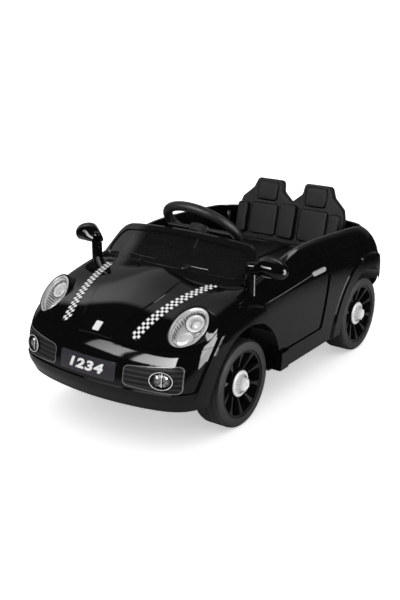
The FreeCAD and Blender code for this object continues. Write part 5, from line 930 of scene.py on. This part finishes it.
# %% [markdown]
# ## Reflectors of the fog lamps
# The two reflectors of a lamp are halves of a flattened ball. A ball is cut by a bisect, which also closes
# the cut, pressed to its oval, moved aside and copied to the other side of the lamp's middle.

# %% Fog lamp reflectors
FOG_BULB = (0.0078, 0.0112, 0.005)
FOG_BULB_X = 0.0098
FOG_BULB_SUNK = 0.001

clear_selection()
bpy.ops.mesh.primitive_uv_sphere_add(segments=24, ring_count=12, radius=1.0)
bulb = bpy.context.object
with open_mesh(bulb):
    bpy.ops.mesh.bisect(plane_co=(0, 0, 0), plane_no=(0, 0, 1), clear_inner=True, use_fill=True)
    bpy.ops.mesh.select_all(action="SELECT")
    bpy.ops.transform.resize(value=FOG_BULB, center_override=(0, 0, 0))
    bpy.ops.transform.translate(value=(FOG_BULB_X, 0, FOG_FLOOR - FOG_BULB_SUNK))
    bpy.ops.mesh.duplicate_move(TRANSFORM_OT_translate={"value": (-2 * FOG_BULB_X, 0, 0)})
both_sides(bulb, FOG_FRAME, "fog_reflectors", FINISH["fog_plate"])

# %% [markdown]
# ## Bars and bright rings of the fog lamps
# A bright upright bar parts the two reflectors, and a thin bright ring lies on the black one round the
# lens. A bar starts as a cube with softened edges, a ring as a torus pressed to the oval. Both are wanted
# again for other pieces, so they are functions.

# %% Fog lamp bars and rings
FOG_BAR = (0.0018, 0.0290, 0.0020)
FOG_BAR_Z = -0.0045
FOG_BAR_SOFT = 0.0004
FOG_TRIM = (0.0259, 0.0189)
FOG_TRIM_THICK = 0.0008
FOG_TRIM_Z = 0.0030


def soft_bar(size, place, soft, segments=1, lean=0.0):
    """A bar with softened edges, in its place."""
    clear_selection()
    bpy.ops.mesh.primitive_cube_add(size=1.0, location=place, rotation=(0, lean, 0))
    bar = bpy.context.object
    bar.scale = size
    place_in_mesh(bar)
    with open_mesh(bar):
        bpy.ops.mesh.bevel(offset=soft, segments=segments, affect="EDGES")
    return bar


def pressed_ring(place, radius, thick, pressed, rounds):
    """A ring in its place, pressed by a share along each axis."""
    clear_selection()
    bpy.ops.mesh.primitive_torus_add(location=place, major_segments=rounds[0], minor_segments=rounds[1],
                                     major_radius=radius, minor_radius=thick)
    ring = bpy.context.object
    place_in_mesh(ring)
    with open_mesh(ring):
        bpy.ops.transform.resize(value=pressed, center_override=place)
    return ring


fog_bar = soft_bar(FOG_BAR, (0, 0, FOG_BAR_Z), FOG_BAR_SOFT, segments=2)
both_sides(fog_bar, FOG_FRAME, "fog_bar", FINISH["hub_silver"])
fog_trim = pressed_ring((0, 0, FOG_TRIM_Z), FOG_TRIM[0], FOG_TRIM_THICK, (1, FOG_TRIM[1] / FOG_TRIM[0], 1), (64, 8))
both_sides(fog_trim, FOG_FRAME, "fog_trim", FINISH["hub_silver"])

# %% [markdown]
# ## Flutes in the headlights
# The bowls are plain solids. A real lamp has fine upright flutes round its wall. Here they are a dark grey, painted
# shade that gives the bright bowl its contrast. They are one bar spun to a ring and pulled to the oval.

# %% Headlight flutes
HEAD_FRAME = Matrix(((0.9717, 0.1548, 0.1781, 0.1970), (0.0, 0.7548, -0.6560, -0.39262),
                     (-0.2360, 0.6375, 0.7334, 0.2770), (0, 0, 0, 1))) @ Matrix.Rotation(math.radians(-4), 4, "Z")
BOWL_HALVES = (0.0306, 0.0466)
BOWL_RING = 0.038
BOWL_FLUTES = 40
BOWL_FLUTE_SIZE = (0.0016, 0.0016, 0.019)
BOWL_FLUTE_SOFT = 0.0003
BOWL_FLUTE_Z = -0.0195


def spin_round(piece, count, centre, axis):
    """Copies a piece all round an axis."""
    with open_mesh(piece):
        bpy.ops.mesh.spin(steps=count - 1, dupli=True, angle=2 * math.pi * (count - 1) / count,
                          center=centre, axis=axis)


bowl_flutes = soft_bar(BOWL_FLUTE_SIZE, (BOWL_RING, 0, BOWL_FLUTE_Z), BOWL_FLUTE_SOFT)
spin_round(bowl_flutes, BOWL_FLUTES, (0, 0, 0), (0, 0, 1))
with open_mesh(bowl_flutes):
    bpy.ops.transform.resize(value=(BOWL_HALVES[0] / BOWL_RING, BOWL_HALVES[1] / BOWL_RING, 1),
                             center_override=(0, 0, 0))
both_sides(bowl_flutes, HEAD_FRAME, "headlight_flutes", FINISH["highlight_and_shade_grey"])

# %% [markdown]
# ## Rings of the headlights
# The lamp tube ends in a bright bezel, with a dark ring round it that sets it off from the bowl. Both are
# flattened tori.

# %% Headlight rings
LAMP_UP = 0.0195
LAMP_RING_Z = -0.0118
LAMP_RING_FLAT = 0.6
LAMP_RINGS = {"headlight_bezels": (0.0184, 0.0028, "lamp_reflector"),
              "headlight_rings": (0.0214, 0.0013, "rim_black")}

for ring_name, (ring_radius, ring_thick, ring_finish) in LAMP_RINGS.items():
    lamp_ring = pressed_ring((0, LAMP_UP, LAMP_RING_Z), ring_radius, ring_thick, (1, 1, LAMP_RING_FLAT), (48, 10))
    both_sides(lamp_ring, HEAD_FRAME, ring_name, FINISH[ring_finish])

# %% [markdown]
# ## Fine lines on a skin
# Creases and wipers are thin round lines on a curved skin. A curve through a few points is turned into a
# line of points, pressed onto the skin along an axis and given a round section.

# %% Lines on the skin
LINE_STEPS = 24
LINE_FINENESS = 2


def line_on(points, radius, axis, positive, proud, target, second=None):
    """A round bead along a smooth curve through some points, pressed onto a skin."""
    clear_selection()
    bpy.ops.curve.primitive_bezier_curve_add()
    line = bpy.context.object
    bpy.ops.object.mode_set(mode="EDIT")
    bpy.ops.curve.select_all(action="SELECT")
    if len(points) > 2:
        bpy.ops.curve.subdivide(number_cuts=len(points) - 2)
    bpy.ops.object.mode_set(mode="OBJECT")
    for knot, point in zip(line.data.splines[0].bezier_points, points):
        knot.co = point
    bpy.ops.object.mode_set(mode="EDIT")
    bpy.ops.curve.select_all(action="SELECT")
    bpy.ops.curve.handle_type_set(type="AUTOMATIC")
    bpy.ops.object.mode_set(mode="OBJECT")
    line.data.resolution_u = LINE_STEPS
    bpy.ops.object.convert(target="MESH")
    line = bpy.context.object
    lay_on(line, axis, positive, proud, target, second)
    return round_line(line, radius, LINE_FINENESS)


print("fine lines are made by line_on()")

# %% [markdown]
# ## Creases of bonnet and doors
# The bonnet's raised middle ends in two creases, and each door carries one crease under the handle. The
# bonnet's are pressed on from above, the doors' from the side.

# %% Bonnet and door creases
BULGE = ((0.0872, -0.268), (0.0884, -0.351), (0.0704, -0.410), (0.0535, -0.462))
BULGE_BEAD = 0.0008
DOOR_LINE = ((-0.172, 0.2804), (-0.088, 0.2857), (0.040, 0.2955))
DOOR_BEAD = 0.0012
BESIDE_CAR = 0.6

crease = line_on([(x, y, ABOVE_CAR) for x, y in BULGE], BULGE_BEAD, "z", False, 0.0, skins["bonnet"])
both_sides(crease, IN_PLACE, "bonnet_crease", FINISH["body_gloss"])
crease = line_on([(BESIDE_CAR, y, z) for y, z in DOOR_LINE], DOOR_BEAD, "x", False, 0.0, skins["body_shell"])
# The door creases are a lighter grey than the body, a painted highlight along each crease.
both_sides(crease, IN_PLACE, "door_crease", FINISH["highlight_and_shade_grey"])

# %% [markdown]
# ## Wipers
# Two wipers are moulded on the pane, each a blade and a thicker arm. They don't mirror each other, so each
# one has its own points.

# %% Wipers
BLADE = 0.0016
ARM = 0.0022
WIPER_PROUD = 0.0005
WIPERS = {
    "wiper_blade_right": (BLADE, ((-0.112, -0.2135), (-0.066, -0.2235), (-0.020, -0.2285))),
    "wiper_blade_left": (BLADE, ((0.058, -0.2235), (0.092, -0.2195), (0.122, -0.2130))),
    "wiper_arm_right": (ARM, ((-0.062, -0.2440), (-0.064, -0.2240))),
    "wiper_arm_left": (ARM, ((0.050, -0.2440), (0.076, -0.2215))),
}
for wiper, (thick, points) in WIPERS.items():
    piece = line_on([(x, y, ABOVE_CAR) for x, y in points], thick, "z", False, WIPER_PROUD,
                    skins["windscreen_pane"], skins["windscreen_frame"])
    settle(piece, wiper, "chassis", FINISH["screen_frame"])

# %% [markdown]
# ## Ticks of the dials
# Two round dials sit in the rings of the dashboard. Their ticks are too fine for the solids: one small bar
# is turned to the start of the scale and spun over two thirds of a turn.

# %% Dial ticks
DIAL_PLACES = ((0.062, -0.104, 0.322), (-0.062, -0.104, 0.322))
DIAL_TURN = Matrix(((-1, 0, 0, 0), (0, 0, 1, 0), (0, 1, 0, 0), (0, 0, 0, 1)))
TICK_RADIUS = 0.0255
TICK_BAR = (0.0012, 0.0050, 0.0008)
TICK_SOFT = 0.0002
TICK_STEPS = 10
TICK_SWEEP = math.radians(240)


def on_both_dials(piece, name, material):
    twin = copy_of(piece)
    for half, place, side in ((piece, DIAL_PLACES[0], "_left"), (twin, DIAL_PLACES[1], "_right")):
        half.data.transform(Matrix.Translation(place) @ DIAL_TURN)
        settle(half, name + side, "chassis", material)


dial_ticks = soft_bar(TICK_BAR, (0, TICK_RADIUS, TICK_BAR[2] / 2), TICK_SOFT)
with open_mesh(dial_ticks):
    bpy.ops.transform.rotate(value=TICK_SWEEP / 2, orient_axis="Z", center_override=(0, 0, 0))
    bpy.ops.mesh.spin(steps=TICK_STEPS, dupli=True, angle=TICK_SWEEP, center=(0, 0, 0), axis=(0, 0, 1))
on_both_dials(dial_ticks, "dial_ticks", FINISH["badge_white"])

# %% [markdown]
# ## Needles of the dials
# A needle is a bar whose far end is drawn to a point, joined to a round hub and turned on the scale.

# %% Dial needles
NEEDLE_BAR = (0.0022, 0.0230, 0.0008)
NEEDLE_AHEAD = 0.4
NEEDLE_Z = 0.0012
NEEDLE_TIP = 0.2
NEEDLE_TURN = math.radians(70)
HUB_RADIUS = 0.0036
HUB_DEPTH = 0.0020
HUB_SOFT = 0.0004


def select_corners(piece, wanted):
    """Selects the corners that pass a test, with the edges and faces between them."""
    mesh = piece.data
    for corner in mesh.vertices:
        corner.select = wanted(corner.co)
    for part in (*mesh.edges, *mesh.polygons):
        part.select = all(mesh.vertices[index].select for index in part.vertices)


def joined(first, second):
    only(first)
    second.select_set(True)
    bpy.ops.object.join()
    return bpy.context.object


clear_selection()
bpy.ops.mesh.primitive_cylinder_add(vertices=24, radius=HUB_RADIUS, depth=HUB_DEPTH, location=(0, 0, HUB_DEPTH / 2))
needle_hub = bpy.context.object
place_in_mesh(needle_hub)
with open_mesh(needle_hub):
    bpy.ops.mesh.bevel(offset=HUB_SOFT, segments=2, affect="EDGES")
clear_selection()
bpy.ops.mesh.primitive_cube_add(size=1.0, location=(0, NEEDLE_BAR[1] * NEEDLE_AHEAD, NEEDLE_Z))
needle = bpy.context.object
needle.scale = NEEDLE_BAR
place_in_mesh(needle)
select_corners(needle, lambda place: place.y > 0)
bpy.ops.object.mode_set(mode="EDIT")
bpy.ops.transform.resize(value=(NEEDLE_TIP, 1, 1), center_override=(0, 0, 0))
bpy.ops.mesh.select_all(action="SELECT")
bpy.ops.transform.rotate(value=NEEDLE_TURN, orient_axis="Z", center_override=(0, 0, 0))
bpy.ops.object.mode_set(mode="OBJECT")
on_both_dials(joined(needle, needle_hub), "dial_needle", FINISH["button_red"])

# %% [markdown]
# ## Pattern of the tail lamps
# The photograph does not show the tail. A plain red oval would look unfinished, so each lens gets a raised
# ring and a pale oval in the middle, cut from a disc by insets and pressed onto the lens.

# %% Tail lamps
TAIL_PLACE = (0.176, 0.70, 0.268)
TAIL_HALVES = (0.034, 0.020)
TAIL_RIM = 0.0024
TAIL_THICK = 0.0010
TAIL_RING = 0.82
TAIL_EYE = 0.40


def tail_oval(share, hollow):
    """A flat oval behind the left tail lamp, or a ring when it is hollow, pressed onto the lens."""
    clear_selection()
    bpy.ops.mesh.primitive_circle_add(vertices=64, radius=share, fill_type="NGON")
    oval = bpy.context.object
    oval.scale = (*TAIL_HALVES, 1)
    oval.rotation_euler = (UPRIGHT, 0, 0)
    oval.location = TAIL_PLACE
    place_in_mesh(oval)
    with open_mesh(oval):
        bpy.ops.mesh.inset(thickness=TAIL_RIM)
        if hollow:
            bpy.ops.mesh.delete(type="FACE")
        else:
            bpy.ops.mesh.inset(thickness=TAIL_RIM)
    lay_on(oval, "y", False, FILM_PROUD, skins["tail_lamps"])
    thicken(oval, TAIL_THICK, 0.0)
    return oval


both_sides(tail_oval(TAIL_RING, True), IN_PLACE, "tail_ring", FINISH["bead_grey"])
both_sides(tail_oval(TAIL_EYE, False), IN_PLACE, "tail_eye", FINISH["tail_eye"])

# %% [markdown]
# ## Side trays of the tub
# Beside the seat box the moulded tub runs on to the cockpit wall. Each tray is a flat sheet with its rear
# corner rounded like the cockpit, thickened into a panel.

# %% Side trays
TRAY_X = (0.1545, 0.2215)
TRAY_Y = (0.187, 0.4030)
TRAY_Z = 0.2420
TRAY_CLEAR = 0.001
TRAY_THICK = 0.003

clear_selection()
bpy.ops.mesh.primitive_plane_add(size=1.0, location=(sum(TRAY_X) / 2, sum(TRAY_Y) / 2, TRAY_Z))
tray = bpy.context.object
tray.scale = (TRAY_X[1] - TRAY_X[0], TRAY_Y[1] - TRAY_Y[0], 1)
place_in_mesh(tray)
select_corners(tray, lambda place: place.x > TRAY_X[0] + MERGE and place.y > TRAY_Y[0] + MERGE)
bpy.ops.object.mode_set(mode="EDIT")
bpy.ops.mesh.select_mode(type="VERT")
bpy.ops.mesh.bevel(offset=COCKPIT_CORNER - TRAY_CLEAR, segments=10, affect="VERTICES")
bpy.ops.object.mode_set(mode="OBJECT")
thicken(tray, TRAY_THICK, -1.0)
both_sides(tray, IN_PLACE, "side_tray", FINISH["floor_black"])

# %% [markdown]
# ## Pieces that turn with the wheels
# Tread, wheel backs and hub flutes are modelled on the front left wheel and spun round its axle. The other
# wheels get copies, each with its own mesh, mirrored for the right-hand side.

# %% Helpers for the wheels
AXLE_Z = 0.104
FRONT_AXLE_Y = -0.244
REAR_AXLE_Y = 0.346
WHEELBASE = REAR_AXLE_Y - FRONT_AXLE_Y
OTHER_WHEELS = {"front_right": (-1, 0.0), "rear_left": (1, WHEELBASE), "rear_right": (-1, WHEELBASE)}
HALF_SQUARE = math.radians(45)


def ring_of_bars(size, place, lean, count, soft):
    """One soft bar on top of the front left wheel, spun round the axle."""
    bar = soft_bar(size, place, soft, lean=lean)
    spin_round(bar, count, (0, FRONT_AXLE_Y, AXLE_Z), (1, 0, 0))
    return bar


def on_four_wheels(first, stem, material):
    """Copies a piece made on the front left wheel to the other three and hangs each on its wheel."""
    pieces = {}
    for wheel, (side, shift) in OTHER_WHEELS.items():
        pieces[wheel] = copy_of(first)
        pieces[wheel].location = (0, shift, 0)
        pieces[wheel].scale = (side, 1, 1)
        place_in_mesh(pieces[wheel])
        face_outwards(pieces[wheel])
    pieces["front_left"] = first
    for wheel, piece in pieces.items():
        settle(piece, stem + wheel, BODY_OF["tyre_" + wheel], material)


print("wheelbase", round(WHEELBASE, 3))

# %% [markdown]
# ## Tread of the tyres
# The moulded tyres carry cross ribs on the tread and a fine knurl on the rounded outer shoulder. A rib lies
# level, half a millimetre proud of the tyre; a bar of the knurl leans by 45 degrees with the shoulder.

# %% Tread
TYRE_RADIUS = 0.104
RIB_COUNT = 84
RIB_SIZE = (0.050, 0.0036, 0.0022)
RIB_X = 0.208
RIB_PROUD = 0.0005
RIB_SOFT = 0.0004
SHOULDER = 0.009
SHOULDER_X = 0.243 - SHOULDER
KNURL_COUNT = 220
KNURL_SIZE = (0.0052, 0.0012, 0.0016)
KNURL_SUNK = 0.0003
KNURL_SOFT = 0.0003

rib_z = AXLE_Z + TYRE_RADIUS + RIB_PROUD - RIB_SIZE[2] / 2
ribs = ring_of_bars(RIB_SIZE, (RIB_X, FRONT_AXLE_Y, rib_z), 0.0, RIB_COUNT, RIB_SOFT)
knurl_out = math.sqrt(0.5) * (SHOULDER - KNURL_SUNK)
knurl_place = (SHOULDER_X + knurl_out, FRONT_AXLE_Y, AXLE_Z + TYRE_RADIUS - SHOULDER + knurl_out)
knurl = ring_of_bars(KNURL_SIZE, knurl_place, HALF_SQUARE, KNURL_COUNT, KNURL_SOFT)
on_four_wheels(joined(ribs, knurl), "tread_", FINISH["tyre_black"])

# %% [markdown]
# ## Backs of the wheels
# Moulded wheels are closed behind their spokes, so nothing bright shows between them. The back is a disc
# with a stepped edge and a hole for the boss of the rim, cut by insets and thickened.

# %% Wheel backs
BACK_X = 0.188
BACK_RADIUS = 0.0774
BACK_STEP = 0.007
BACK_STEP_DEPTH = 0.003
BACK_HOLE = 0.0196
BACK_THICK = 0.002

clear_selection()
bpy.ops.mesh.primitive_circle_add(vertices=96, radius=BACK_RADIUS, fill_type="NGON",
                                  location=(BACK_X, FRONT_AXLE_Y, AXLE_Z), rotation=(0, UPRIGHT, 0))
wheel_back = bpy.context.object
place_in_mesh(wheel_back)
with open_mesh(wheel_back):
    bpy.ops.mesh.inset(thickness=BACK_STEP, depth=BACK_STEP_DEPTH)
    bpy.ops.mesh.inset(thickness=BACK_RADIUS - BACK_STEP - BACK_HOLE)
    bpy.ops.mesh.delete(type="FACE")
thicken(wheel_back, BACK_THICK, -1.0)
bpy.ops.object.shade_smooth_by_angle(angle=CREASE)
on_four_wheels(wheel_back, "wheel_back_", FINISH["rim_black"])

# %% [markdown]
# ## Flutes on the hub caps
# The cone of each silver cap is fluted. One thin flute lies on the slope of the cone and is spun round the axle in
# the same way as the tread. The flutes are darker than the cap, painted shade that makes the cone read.

# %% Hub flutes
FLUTE_COUNT = 30
FLUTE_SIZE = (0.0112, 0.0011, 0.0012)
FLUTE_SOFT = 0.0002
FLUTE_X = 0.2416
FLUTE_RADIUS = 0.0196

flute_place = (FLUTE_X, FRONT_AXLE_Y, AXLE_Z + FLUTE_RADIUS)
flutes = ring_of_bars(FLUTE_SIZE, flute_place, HALF_SQUARE, FLUTE_COUNT, FLUTE_SOFT)
on_four_wheels(flutes, "hub_flutes_", FINISH["bead_grey"])
